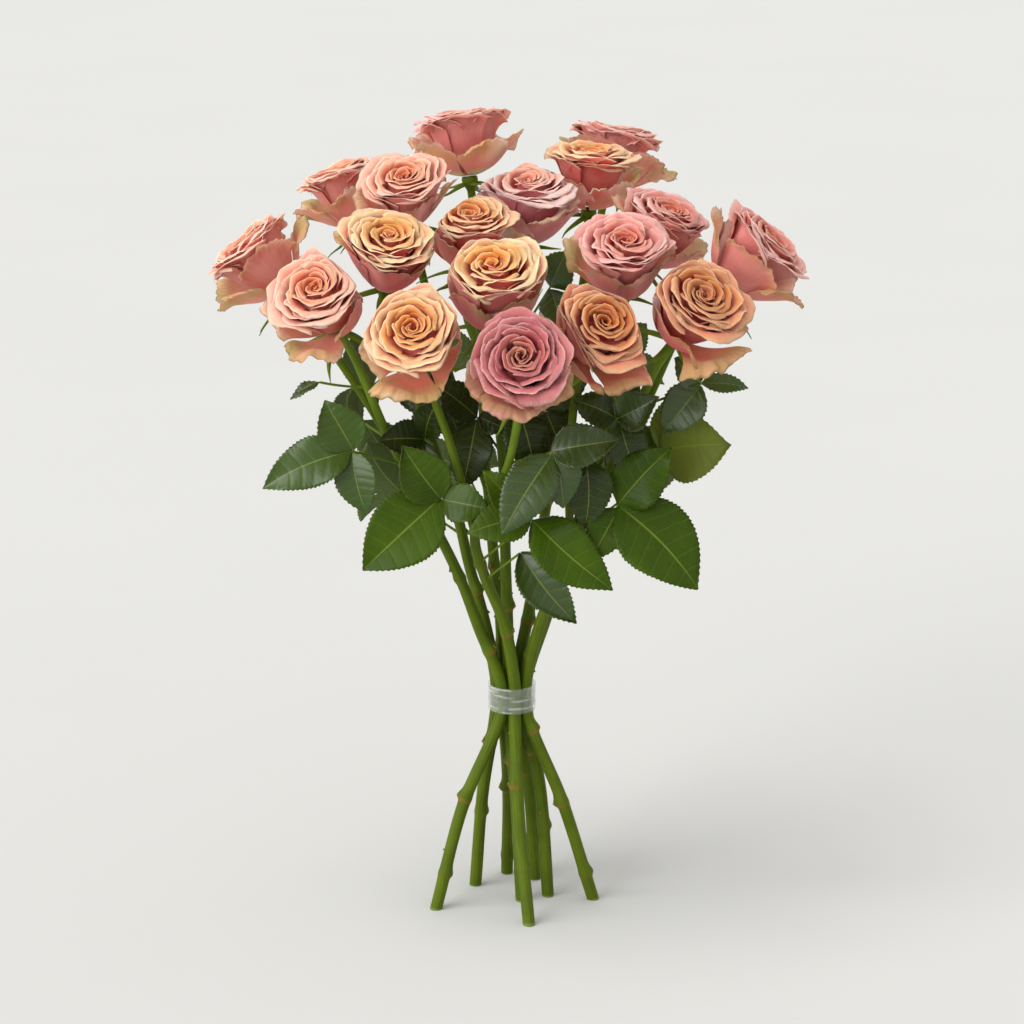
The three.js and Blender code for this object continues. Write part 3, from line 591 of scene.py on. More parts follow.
def petal_material(tone):
    heart, depths_and_painted_shade, inner_face, broad_face, rim, back = (linear(hexes) for hexes in TONES[tone])
    material, tree, shader = new_material(
        tone + " petals", Roughness=0.62, Subsurface_Weight=0.45, Subsurface_Scale=0.004,
        Subsurface_Radius=(1.0, 0.6, 0.45), Sheen_Weight=0.1, Sheen_Roughness=0.4,
        Specular_IOR_Level=0.22)
    along, across = mark(tree, "along"), mark(tree, "across")
    age, side, lot = mark(tree, "age"), mark(tree, "side"), mark(tree, "lot")
    fibres = place(tree, FIBRES, Across=across, Along=along, Lot=lot, Count=46.0, Stretch=1.3)
    patches = place(tree, PATCHES, Size=70.0, Low=0.35, High=0.7)
    # Low on each petal the colour turns to the depths: partly the petal's own deeper base, partly
    # painted shade and a painted glow of light through the crowded petals
    deep_and_painted_shade = blend(tree, remap(tree, age, 0.45, 0.85), depths_and_painted_shade, back)
    face = blend(tree, remap(tree, age, 0.05, 0.5), heart, inner_face)
    face = blend(tree, remap(tree, age, 0.45, 0.8), face, broad_face)
    base = blend(tree, remap(tree, along, 0.77, 1.0), deep_and_painted_shade, face)
    behind = blend(tree, remap(tree, along, 0.08, 0.34), FOOT, back)
    colour = blend(tree, side, base, behind)
    colour = blend(tree, times(tree, fibres, 0.15), colour, STREAK, "MULTIPLY")
    # The thin light edge: partly the petal's paler margin, partly a painted highlight along it
    edge_and_painted_highlight = remap(tree, maths(tree, "ADD", along, times(tree, fibres, 0.03)), 0.96, 1.03)
    colour = blend(tree, times(tree, edge_and_painted_highlight, 0.65), colour, rim)
    colour = blend(tree, times(tree, patches, 0.12), colour, rim)
    worn = maths(tree, "ADD", along, times(tree, fibres, 0.18))
    worn = maths(tree, "ADD", worn, times(tree, remap(tree, age, 0.92, 1.0), 0.3))
    old = times(tree, remap(tree, age, 0.89, 0.93), remap(tree, worn, 0.76, 1.12))
    dry = times(tree, old, place(tree, PATCHES, Size=45.0, Low=0.3, High=0.55))
    colour = blend(tree, times(tree, dry, 0.85), colour, TAN)
    green = place(tree, PATCHES, Size=28.0, Low=0.5, High=0.66)
    colour = blend(tree, times(tree, times(tree, old, green), 0.75), colour, OLIVE)
    crisp = times(tree, remap(tree, age, 0.75, 0.98), remap(tree, along, 0.96, 1.0))
    colour = blend(tree, times(tree, crisp, 0.75), colour, DRY)
    tree.links.new(colour, shader.inputs["Base Color"])
    bump(tree, shader, fibres, 0.35, 0.0005)
    return material


# %% Make the heads
petal_slots = {part["node"]: part["material_slot"] for part in frame["record"]["subparts"]}
petal_finish = {tone: petal_material(tone) for tone in TONES}
for name, head in HEADS.items():
    piece("petals_" + name[-2:], head_mesh(head), petal_finish[head.tone], petal_slots[name], name)
print(len(HEADS), "heads of", INNER + sum(ring[0] for ring in BROAD_RINGS) + GUARDS, "petals each")

# %% [markdown]
# ## Where the stems run
# Eight stems splay from the waist down and spread from it up. Each one forks
# inside the leaves and carries two or three heads. A smooth curve through a few
# given points gives each stem its run, in the same way as in the frame: the
# curve that passes through its points and never overshoots.

# %% The table of stems
STEMS = {
    "stem_front": dict(
        foot=(10.4, -48.6), leg=(4, -26, 66), waist=(280, 9.8),
        rise=((-5, -17, 184), (-17, -26, 218)), fork=(-22, -36, 246), nodes=0.55,
        branches=(("bloom_10", (-2, -61, 296)), ("bloom_08", (-35, -47, 300)))),
    "stem_front_right": dict(
        foot=(50.6, -7.5), leg=(31, -9.5, 66), waist=(331, 9.8),
        rise=((16, -12, 178), (26, -17, 208)), fork=(36, -23, 238), nodes=0.2,
        branches=(("bloom_17", (60, -33, 290)), ("bloom_14", (52, -24, 300)),
                  ("bloom_16", (34, -42, 295)))),
    "stem_right": dict(
        foot=(22.5, -2.6), leg=(18, 1, 66), waist=(23, 9.8),
        rise=((20, 3, 178), (31, 5, 210)), fork=(44, 9, 248), nodes=0.75,
        branches=(("bloom_18", (78, 4, 310)), ("bloom_15", (62, 18, 310)))),
    "stem_back_right": dict(
        foot=(14.6, 25.3), leg=(10.5, 18.5, 66), waist=(74, 9.8),
        rise=((10, 17, 178), (16, 29, 212)), fork=(24, 44, 256), nodes=0.4,
        branches=(("bloom_13", (44, 84, 340)), ("bloom_12", (36, 58, 330)))),
    "stem_back": dict(
        foot=(-3.2, 35.3), leg=(-2.5, 24, 66), waist=(126, 9.8),
        rise=((-7, 15, 178), (-11, 21, 212)), fork=(-15, 28, 260), nodes=0.1,
        branches=(("bloom_05", (-20, 44, 340)), ("bloom_04", (-38, 22, 330)))),
    "stem_back_left": dict(
        foot=(-23.1, 15.4), leg=(-18, 11, 66), waist=(177, 9.8),
        rise=((-17, 5, 178), (-26, 8, 212)), fork=(-37, 10, 258), nodes=0.85,
        branches=(("bloom_03", (-66, 28, 325)), ("bloom_06", (-56, -10, 320)))),
    "stem_left": dict(
        foot=(-47.1, -23.5), leg=(-30, -16, 66), waist=(229, 9.8),
        rise=((-20, -9, 178), (-32, -12, 212)), fork=(-47, -17, 246), nodes=0.3,
        branches=(("bloom_02", (-75, -29, 308)), ("bloom_01", (-84, -17, 318)))),
    "stem_middle": dict(
        foot=(6, -10), leg=(2.5, -6, 66), waist=(229, 2.6),
        rise=((-3, -2, 184), (-4, -4, 225)), fork=(-5, -6, 268), nodes=0.65,
        branches=(("bloom_07", (-12, -6, 330)), ("bloom_09", (-8, -22, 320)),
                  ("bloom_11", (1, 14, 335)))),
}
TIE_MIDDLE_Z = float(tie_low[2] + tie_high[2]) / 2 / MM
TIE_HEIGHT = float(tie_high[2] - tie_low[2]) / MM
TRUNK_R, FORK_R, BRANCH_R, NODE_SWELL, NODE_SPACING = 3.75, 3.1, 2.5, 1.2, 50
print("tie", round(TIE_HEIGHT, 1), "mm tall at", round(TIE_MIDDLE_Z, 1), "mm")


# %% A smooth path through points, measured by length
class Path:
    STEPS = 40

    def __init__(self, points):
        points = np.asarray(points, float)
        ends = [2 * points[0] - points[1], *points, 2 * points[-1] - points[-2]]
        pieces = [self.stretch(*ends[i:i + 4]) for i in range(len(points) - 1)]
        self.points = np.concatenate([*pieces, points[-1:]])
        steps = np.linalg.norm(np.diff(self.points, axis=0), axis=1)
        self.lengths = np.concatenate([[0], np.cumsum(steps)])
        self.length = float(self.lengths[-1])

    def stretch(self, p0, p1, p2, p3):
        d0, d1, d2 = (max(np.linalg.norm(b - a) ** 0.5, 1e-4)
                      for a, b in ((p0, p1), (p1, p2), (p2, p3)))
        m1 = ((p1 - p0) / d0 - (p2 - p0) / (d0 + d1) + (p2 - p1) / d1) * d1
        m2 = ((p2 - p1) / d1 - (p3 - p1) / (d1 + d2) + (p3 - p2) / d2) * d1
        t = (np.arange(self.STEPS) / self.STEPS)[:, None]
        return (p1 + m1 * t + (-3 * p1 + 3 * p2 - 2 * m1 - m2) * t**2
                + (2 * p1 - 2 * p2 + m1 + m2) * t**3)

    def at(self, distance):
        distance = np.clip(distance, 0, self.length)
        return np.stack([np.interp(distance, self.lengths, self.points[:, i]) for i in range(3)], -1)

    def heading(self, distance):
        return unit(self.at(np.asarray(distance) + 0.5) - self.at(np.asarray(distance) - 0.5))

    def at_height(self, z):
        return float(np.interp(z, self.points[:, 2], self.lengths))


def stem_paths(stem):
    angle, radius = math.radians(stem["waist"][0]), stem["waist"][1]
    half = TIE_HEIGHT / 2 + 1
    waist = [(radius * math.cos(angle), radius * math.sin(angle), TIE_MIDDLE_Z + way * half)
             for way in (-1, 1)]
    trunk = [(*stem["foot"], 0), stem["leg"], *waist, *stem["rise"], stem["fork"]]
    fork, below = np.array(stem["fork"], float), np.array(stem["rise"][-1], float)
    paths = []
    for order, (bloom, via) in enumerate(stem["branches"]):
        head = HEADS[bloom]
        rest = [via, *(head.base - head.axis * back for back in (34, 16, 0))]
        paths.append(Path([*trunk, *rest] if order == 0 else [fork + 0.12 * (below - fork), *rest]))
    return paths


PATHS = {name: stem_paths(stem) for name, stem in STEMS.items()}
print("stem lengths in mm", [round(paths[0].length) for paths in PATHS.values()])

# %% [markdown]
# ## Canes
# A rose cane is round but never even. Every few centimetres a leaf once grew,
# and left a knee with a brown scar across it and the nub of an old bud, and here
# and there a blunt prickle stands off. Each stem is a tube of rings set square to
# its path. The rings swell at the scars, most of all to one side, and the lowest
# ring is cut level, because the bunch stands on it.

# %% Tubes, scars and prickles
CANE_SIDES = 20
RING_STEP = 1.25
KNEE, KNEE_ABOVE, KNEE_BELOW = 2.3, 4.5, 1.6
COLLAR, COLLAR_HALF = 0.45, 2.6
SCAR_BELOW, SCAR_HALF = 1.4, 1.1
NUB, NUB_ABOVE = 1.35, 1.5
PRICKLES = 4


def rings_along(path, distances, radii, sides):
    centre, way = path.at(distances), path.heading(distances)
    square = np.eye(3)[0 if np.abs(way[:, 0]).max() < 0.85 else np.abs(way).mean(0).argmin()]
    first = unit(square - (way @ square)[:, None] * way)
    second = np.cross(way, first)
    angle = np.arange(sides) / sides * 2 * math.pi
    radii = np.broadcast_to(np.asarray(radii, float).reshape(len(distances), -1),
                            (len(distances), sides))[..., None]
    return centre[:, None] + radii * (first[:, None] * np.cos(angle)[None, :, None]
                                      + second[:, None] * np.sin(angle)[None, :, None])


def add_tube(gather, rings, **marks):
    count, sides = rings.shape[:2]
    index = np.arange(count * sides).reshape(count, sides)
    after = np.roll(index, -1, axis=1)
    quads = np.stack([index[:-1], after[:-1], after[1:], index[1:]], -1).reshape(-1, 4)
    low, high = count * sides, count * sides + 1
    caps = [(low, b, a) for a, b in zip(index[0], after[0])]
    caps += [(high, a, b) for a, b in zip(index[-1], after[-1])]
    points = np.concatenate([rings.reshape(-1, 3), rings[:1].mean(1), rings[-1:].mean(1)])
    full = {}
    for name, value in marks.items():
        value = np.asarray(value, float)
        value = np.broadcast_to(value[:, None] if value.ndim == 1 else value, (count, sides))
        full[name] = np.concatenate([value.ravel(), value[0, :1], value[-1, :1]])
    gather.add(points, quads, caps, **full)


def node_places(stem, path):
    waist, fork = path.at_height(TIE_MIDDLE_Z), path.at_height(stem["fork"][2])
    places = np.arange(NODE_SPACING * stem["nodes"] + 8, fork, NODE_SPACING)
    return [at for at in places if abs(at - waist) >= 18], waist, fork


def knee_side(order):
    return 2.4 * order + 1.0


def cane_radius(distance, waist, fork, places, sides):
    plain = TRUNK_R + (FORK_R - TRUNK_R) * smooth(waist + 14, fork, distance)
    plain = plain + (BRANCH_R - plain) * smooth(fork - 6, fork + 14, distance)
    angle = np.arange(sides)[None, :] / sides * 2 * math.pi
    swell = np.zeros((len(distance), sides))
    scar = np.zeros((len(distance), sides))
    for order, at in enumerate(places):
        facing = (0.5 + 0.5 * np.cos(angle - knee_side(order))) ** 2
        reach = np.where(distance > at, KNEE_ABOVE, KNEE_BELOW)
        swell += (np.exp(-(((distance - at) / reach) ** 2)) * KNEE)[:, None] * facing
        swell += (np.exp(-(((distance - at) / COLLAR_HALF) ** 2)) * COLLAR)[:, None]
        ring = np.exp(-(((distance - at + SCAR_BELOW) / SCAR_HALF) ** 2))
        scar += ring[:, None] * (0.12 + 0.88 * facing)
    return plain[:, None] * (1 + (NODE_SWELL - 1) * swell), np.clip(scar, 0, 1)


def add_prickle(gather, path, distance, angle, radius, length):
    way = path.heading(np.array([distance]))[0]
    first = unit(np.array([1.0, 0, 0]) - way[0] * way)
    out = first * math.cos(angle) + np.cross(way, first) * math.sin(angle)
    root = path.at(distance) + out * (radius - 0.4)
    tip = root + out * length - way * 0.45 * length
    share = np.array([0, 0.35, 0.7, 1.0])
    centre = root + share[:, None] * (tip - root) - (share**2 * 0.25 * length)[:, None] * way
    around = np.arange(8) / 8 * 2 * math.pi
    wide = np.array([1.7, 0.9, 0.45, 0.06])[:, None, None]
    side = np.cross(way, out)
    rings = centre[:, None] + wide * (way * np.cos(around)[:, None] * 1.2
                                      + side * np.sin(around)[:, None] * 0.7)
    add_tube(gather, rings[:, ::-1], along=0.5, across=0.0, scar=share, cut=0.0, young=0.0)


# %% The cane of one stem
def add_cane(gather, name, draw):
    stem, paths = STEMS[name], PATHS[name]
    places, waist, fork = node_places(stem, paths[0])
    for order, path in enumerate(paths):
        distances = np.arange(0, path.length - 5, RING_STEP)
        if order == 0:
            radii, scar = cane_radius(distances, waist, fork, places, CANE_SIDES)
        else:
            radii, scar = cane_radius(distances + fork + 14, waist, fork, [], CANE_SIDES)
        wobble = 1 + 0.015 * np.sin(distances / 9 + order * 2)[:, None]
        rings = rings_along(path, distances, radii * wobble, CANE_SIDES)
        cut = np.zeros(len(distances))
        if order == 0:
            down = path.heading(np.array([0.0]))[0]
            rings[0] -= rings[0][:, 2:] / down[2] * down
            cut[0] = 1
        young = smooth(fork - 40, path.length, distances + (fork if order else 0))
        add_tube(gather, rings, along=distances / 100, across=np.abs(np.linspace(
            -1, 1, CANE_SIDES))[None, :].repeat(len(distances), 0), scar=scar,
            cut=cut, young=young)
    for order, at in enumerate(places):
        add_prickle(gather, paths[0], at + NUB_ABOVE, knee_side(order),
                    TRUNK_R * (1 + (NODE_SWELL - 1) * KNEE), NUB)
    for _ in range(PRICKLES):
        at = draw.uniform(20, fork)
        if abs(paths[0].at(at)[2] - TIE_MIDDLE_Z) > TIE_HEIGHT:
            add_prickle(gather, paths[0], at, draw.uniform(0, 6.28), TRUNK_R * 0.97,
                        draw.uniform(1.2, 2.4))


# %% [markdown]
# ## The cup under each head
# Under the petals sits a small green cup, and five narrow sepals of uneven length
# hang from it with curled tips. The cup is a lathed profile. The sepals are the
# same kind of thin sheet as the petals, along a line that falls away to its tip.

# %% Cups and sepals
CUP = ((-9, 2.5), (-8, 2.8), (-6.4, 3.6), (-4.6, 4.6), (-2.6, 5.0), (-0.9, 4.9), (0, 4.3))
SEPALS = 5
SEPAL_REACH = 24


def add_calyx(gather, head, draw):
    angle = np.arange(CANE_SIDES) / CANE_SIDES * 2 * math.pi
    rings = np.stack([head.at(np.full(CANE_SIDES, radius), angle, np.full(CANE_SIDES, height))
                      for height, radius in CUP])
    add_tube(gather, rings, along=0.5, across=0.0, scar=0.0, cut=0.0, young=1.0)
    for number in range(SEPALS):
        corner = 2 * number + 1
        hang = 9 + 5 * math.sin(corner * 1.05 + head.turn)
        u = np.linspace(-1, 1, 7)[None, :]
        v = np.linspace(0, 1, 25)[:, None]
        long = draw.uniform(0.85, 1.5)
        reach = 3.6 + (SEPAL_REACH * long - 3.6) * v
        fall = -3.7 - hang * v**1.5 + draw.uniform(-1.0, 4.5) * smooth(0.5, 1, v)
        half = 2.3 * (1 - v) ** 0.9 * (1 + 0.3 * np.sin(math.pi * v)) + 0.1
        sway = draw.normal(0, 0.16) * v**2 + 0.05 * np.sin(5 * v + corner)
        fold = 0.7 * np.abs(u) * half * (1 - 0.5 * v)
        grid = head.at(reach, corner * math.pi / SEPALS + sway + u * half / np.maximum(reach, 4),
                       fall - fold)
        points, quads, side = closed_sheet(grid, 0.5)
        gather.add(points, quads, along=twice(np.broadcast_to(v, grid.shape[:2])), across=twice(
            np.broadcast_to(u, grid.shape[:2])), scar=0.0, cut=0.0, young=0.6 + 0.4 * (1 - side))


# %% [markdown]
# ## The canes' finish
# The bark is smooth and waxy, with faint stripes along it, darker low down and
# fresher near the heads. Scars and the tips of prickles are brown, and the cut
# ends are paler.

# %% Cane material
def cane_material():
    material, tree, shader = new_material("green cane", Roughness=0.5, Specular_IOR_Level=0.12,
                                          Subsurface_Weight=0.05, Subsurface_Scale=0.002)
    along, across = mark(tree, "along"), mark(tree, "across")
    fibres = place(tree, FIBRES, Across=across, Along=along, Count=9.0, Stretch=2.5)
    patches = place(tree, PATCHES, Size=55.0, Low=0.3, High=0.7)
    colour = blend(tree, mark(tree, "young"), linear("4C5E08"), linear("66801E"))
    colour = blend(tree, times(tree, fibres, 0.35), colour, linear("6E7E1E"))
    colour = blend(tree, times(tree, patches, 0.35), colour, linear("2E4208"))
    colour = blend(tree, times(tree, mark(tree, "scar"), 0.95), colour, linear("8A6232"))
    colour = blend(tree, mark(tree, "cut"), colour, linear("8E985C"))
    tree.links.new(colour, shader.inputs["Base Color"])
    bump(tree, shader, fibres, 0.3, 0.0006)
    return material


CANE = cane_material()
print("material:", CANE.name)

# %% [markdown]
# ## Leaves
# A rose leaf is compound: a thin stalk ends in a joint with leaflets, here up to
# three, and each leaflet has a saw-toothed margin, a pale midrib and sunken side
# veins. The leaves stand where the frame's own leaves are. The teeth are real
# geometry here, because they show against the light background. One row of the
# table gives the branch, the height where the stalk starts, the joint, the way
# the leaf faces, its shade, and the tip and width of each leaflet. The shade runs
# from 0 for a pale young leaf to 1 for a dark one deep in the bunch, and that
# dark green is partly the leaf's own colour and partly painted shade.

# %% The table of leaves
# The fifth number of each row is the leaf's shade: its own tone, and painted shade for leaves deep in
# the bunch
LEAVES = {
    "stem_left": (
        (0, 286, (-93, -42, 298), (-0.2, -0.9, 0.4), 0.4,
         (((-147, -50, 278), 30), ((-110, -42, 329), 29), ((-86, -50, 262), 25))),
        (0, 240, (-42, -48, 270), (0, -0.9, 0.35), 0.22,
         (((-88, -62, 231), 43), ((-64, -52, 304), 30), ((-13, -60, 268), 24))),
        (0, 334, (-112, -38, 339), (0, -0.5, 0.8), 0.6,
         (((-130, -43, 330), 8),)),
        (1, 300, (-90, 6, 304), (-0.4, 0.5, 0.7), 0.8,
         (((-116, 26, 282), 28), ((-90, 16, 328), 20), ((-70, 22, 262), 26))),
    ),
    "stem_front": (
        (0, 296, (22, -64, 303), (0, -0.9, 0.4), 0.7,
         (((62, -68, 312), 26), ((-6, -82, 259), 30), ((30, -72, 272), 26))),
        (0, 226, (11, -58, 261), (0, -0.85, 0.5), 0.22,
         (((59, -78, 224), 34), ((-26, -68, 256), 26), ((-16, -62, 292), 24))),
        (0, 214, (4, -52, 238), (0, -0.9, 0.3), 0.65,
         (((38, -68, 200), 26),)),
    ),
    "stem_front_right": (
        (0, 240, (62, -50, 266), (0.1, -0.85, 0.5), 0.2,
         (((110, -66, 221), 46), ((93, -52, 303), 32), ((46, -66, 238), 24))),
        (0, 322, (110, -31, 336), (0.2, -0.7, 0.6), 0.55,
         (((140, -26, 333), 13), ((89, -36, 308), 26), ((96, -30, 352), 24))),
        (1, 286, (62, -38, 316), (0.1, -0.9, 0.4), 0.7,
         (((86, -52, 334), 24), ((36, -44, 330), 22), ((76, -50, 282), 24))),
        (2, 270, (42, -50, 296), (0.1, -0.85, 0.5), 0.7,
         (((43, -60, 256), 28), ((22, -56, 282), 22))),
    ),
    "stem_right": (
        (0, 284, (87, -13, 291), (0, -0.95, 0.1), 0.02,
         (((130, -30, 299), 42), ((102, 8, 322), 22))),
        (0, 232, (76, 20, 258), (0.6, 0.4, 0.7), 0.7,
         (((94, 42, 228), 28), ((104, 10, 284), 26), ((78, 50, 240), 26))),
        (1, 282, (64, 2, 298), (0.2, -0.8, 0.5), 0.6,
         (((76, -14, 258), 28), ((100, -2, 282), 24), ((70, -8, 338), 24))),
    ),
    "stem_back_right": (
        (0, 236, (38, 66, 262), (0.3, 0.8, 0.5), 0.7,
         (((58, 104, 238), 34), ((76, 66, 278), 30), ((12, 88, 280), 32))),
        (0, 318, (58, 88, 322), (0.6, 0.6, 0.5), 0.6,
         (((96, 96, 306), 32), ((64, 122, 308), 24), ((84, 74, 350), 24))),
    ),
    "stem_back": (
        (0, 236, (-28, 58, 258), (-0.2, 0.85, 0.5), 0.75,
         (((-46, 96, 234), 34), ((-66, 58, 276), 32), ((-8, 82, 256), 32))),
        (1, 300, (-40, 6, 320), (-0.2, -0.8, 0.5), 0.8,
         (((-60, 0, 350), 24), ((-69, 12, 316), 26), ((-28, -2, 286), 20))),
        (0, 318, (-22, 66, 328), (-0.1, 0.8, 0.5), 0.6,
         (((-36, 102, 312), 30), ((-56, 66, 344), 24), ((8, 82, 344), 24))),
    ),
    "stem_back_left": (
        (0, 232, (-66, 20, 254), (-0.6, 0.4, 0.7), 0.75,
         (((-94, 40, 232), 30), ((-88, 4, 292), 28), ((-68, 52, 240), 26))),
        (1, 292, (-52, -22, 300), (-0.1, -0.9, 0.3), 0.85,
         (((-56, -34, 266), 24), ((-42, -36, 330), 20), ((-79, -39, 304), 22))),
        (0, 308, (-84, 44, 318), (-0.6, 0.5, 0.6), 0.6,
         (((-110, 60, 290), 32), ((-86, 74, 296), 24), ((-98, 34, 350), 24))),
    ),
    "stem_middle": (
        (1, 300, (4, -38, 322), (0, -0.7, 0.7), 0.85,
         (((28, -50, 330), 20), ((-22, -48, 334), 20), ((14, -48, 286), 28))),
        (2, 352, (22, 12, 384), (0, -0.8, 0.5), 0.5,
         (((32, -6, 411), 24), ((34, 0, 352), 22))),
        (0, 288, (-20, -20, 312), (0, -0.7, 0.6), 0.85,
         (((-30, -36, 272), 26), ((-48, -24, 336), 24), ((2, -26, 306), 16))),
        (2, 296, (16, 0, 318), (0.2, -0.8, 0.5), 0.8,
         (((46, -8, 336), 28), ((34, -20, 282), 26), ((10, -14, 346), 20))),
    ),
}
STALK_HALF = 1
LEAF_FOLD, LEAF_ARCH = 0.16, 0.12
OUTLINE = np.array([(0, 0.07), (0.05, 0.36), (0.13, 0.69), (0.24, 0.92), (0.36, 1.02),
                    (0.48, 1.0), (0.6, 0.89), (0.72, 0.71), (0.81, 0.53), (0.9, 0.3), (1, 0.01)])
TOOTH_LENGTH, TOOTH_DEPTH = 2.6, 0.85
TOOTH_ROWS = 5
VEINS, VEIN_DEPTH = 7, 0.22
VEIN_SLANT, VEIN_CURVE, VEIN_START = 1.7, 1.2, 0.2


# %% One leaflet
def add_leaflet(gather, base, tip, width, face, tone_and_painted_shade, draw):
    base, tip = np.asarray(base, float), np.asarray(tip, float)
    length = np.linalg.norm(tip - base)
    along = (tip - base) / length
    up = unit(face - face @ along * along)
    right = np.cross(along, up)
    teeth = max(8, round(length / TOOTH_LENGTH))
    row = np.arange(teeth * TOOTH_ROWS + 1)[:, None]
    v = row / row[-1, 0]
    u = np.linspace(-1, 1, 17)[None, :]
    saw = (row % TOOTH_ROWS) / (TOOTH_ROWS - 1)
    bite = smooth(0.04, 0.16, v) * (1 - smooth(0.95, 1, v))
    tooth = TOOTH_DEPTH * (saw**1.5 - 0.45) * bite * np.abs(u) ** 6
    half = np.interp(v, OUTLINE[:, 0], OUTLINE[:, 1])
    across = u * half * width / 2 + np.sign(u) * tooth
    slant = np.abs(u) ** VEIN_CURVE * VEIN_SLANT * (1 - v)
    from_vein = (v * VEINS - slant - VEIN_START) % 1 - 0.5
    vein = np.exp(-((from_vein / 0.12) ** 2))
    wave = draw.normal(0, 1.3) * np.abs(u) ** 2 * np.sin(3.2 * math.pi * v + draw.uniform(0, 6))
    bend = draw.normal(0, 0.03) * length
    rise = (LEAF_FOLD * np.abs(across) + LEAF_ARCH * length * 2 * v * (1 - v) + wave
            - VEIN_DEPTH * vein * (1 - np.exp(-((u / 0.1) ** 2))) - draw.uniform(0, 0.06) * length * v**3
            + 0.12 * width * np.abs(u) ** 3 * draw.normal(0, 0.3))
    grid = (base + (length * v)[..., None] * along + across[..., None] * right
            + rise[..., None] * up + (bend * np.sin(math.pi * v))[..., None] * right)
    points, quads, side = closed_sheet(grid, 0.4)
    gather.add(points, quads, along=twice(np.broadcast_to(v, grid.shape[:2])),
               across=twice(np.broadcast_to(u, grid.shape[:2])), side=side,
               lot=np.clip(tone_and_painted_shade + draw.normal(0, 0.06), 0, 1))


# %% One compound leaf with its stalk
def add_leaf(gather, canes, paths, leaf, draw):
    branch, height, joint, face, tone_and_painted_shade, leaflets = leaf
    path = paths[branch]
    start = path.at(path.at_height(height))
    joint, face = np.array(joint, float), unit(np.array(face, float))
    along = unit(joint - start)
    right = unit(np.cross(along, face))
    bow = (start + joint) / 2 - face * 2
    share = np.linspace(0, 1, 14)[:, None]
    line = start * (1 - share) ** 2 + 2 * bow * share * (1 - share) + joint * share**2
    stalk = Path(line)
    distances = np.linspace(0, stalk.length, 22)
    radii = 0.75 + 0.75 * np.exp(-distances / 3)
    add_tube(canes, rings_along(stalk, distances, radii, 10), along=distances / 100,
             across=0.0, scar=0.25 * np.exp(-distances / 4), cut=0.0, young=0.6)
    middle = joint + along * STALK_HALF
    tips = [(np.array(tip, float), width) for tip, width in leaflets]
    turns = [math.atan2((tip - joint) @ right, (tip - joint) @ along) for tip, _ in tips]
    order = np.argsort(turns)
    straight = order[1] if len(tips) == 3 else int(np.argmin(np.abs(turns)))
    for number, (tip, width) in enumerate(tips):
        if number == straight:
            base = joint + along * 2 * STALK_HALF
        else:
            base = middle + right * math.copysign(STALK_HALF, turns[number] - turns[straight])
        stub = Path([joint, (joint + base) / 2, base + 0.06 * (tip - base)])
        reach = np.linspace(0, stub.length, 6)
        add_tube(canes, rings_along(stub, reach, np.linspace(0.7, 0.45, 6), 8),
                 along=0.5, across=0.0, scar=0.0, cut=0.0, young=0.7)
        add_leaflet(gather, base, tip, width, face, tone_and_painted_shade, draw)


# %% [markdown]
# ## The leaves' finish
# The upper face runs from pale to dark and glossy, and its darkest greens are
# partly painted shade for leaves deep in the bunch; the underside is grey and matt.
# The midrib and the side veins are drawn from the same two marks that shaped the
# leaflet, along and across, so colour and relief agree. The margin is a shade
# redder, as on young rose leaves.

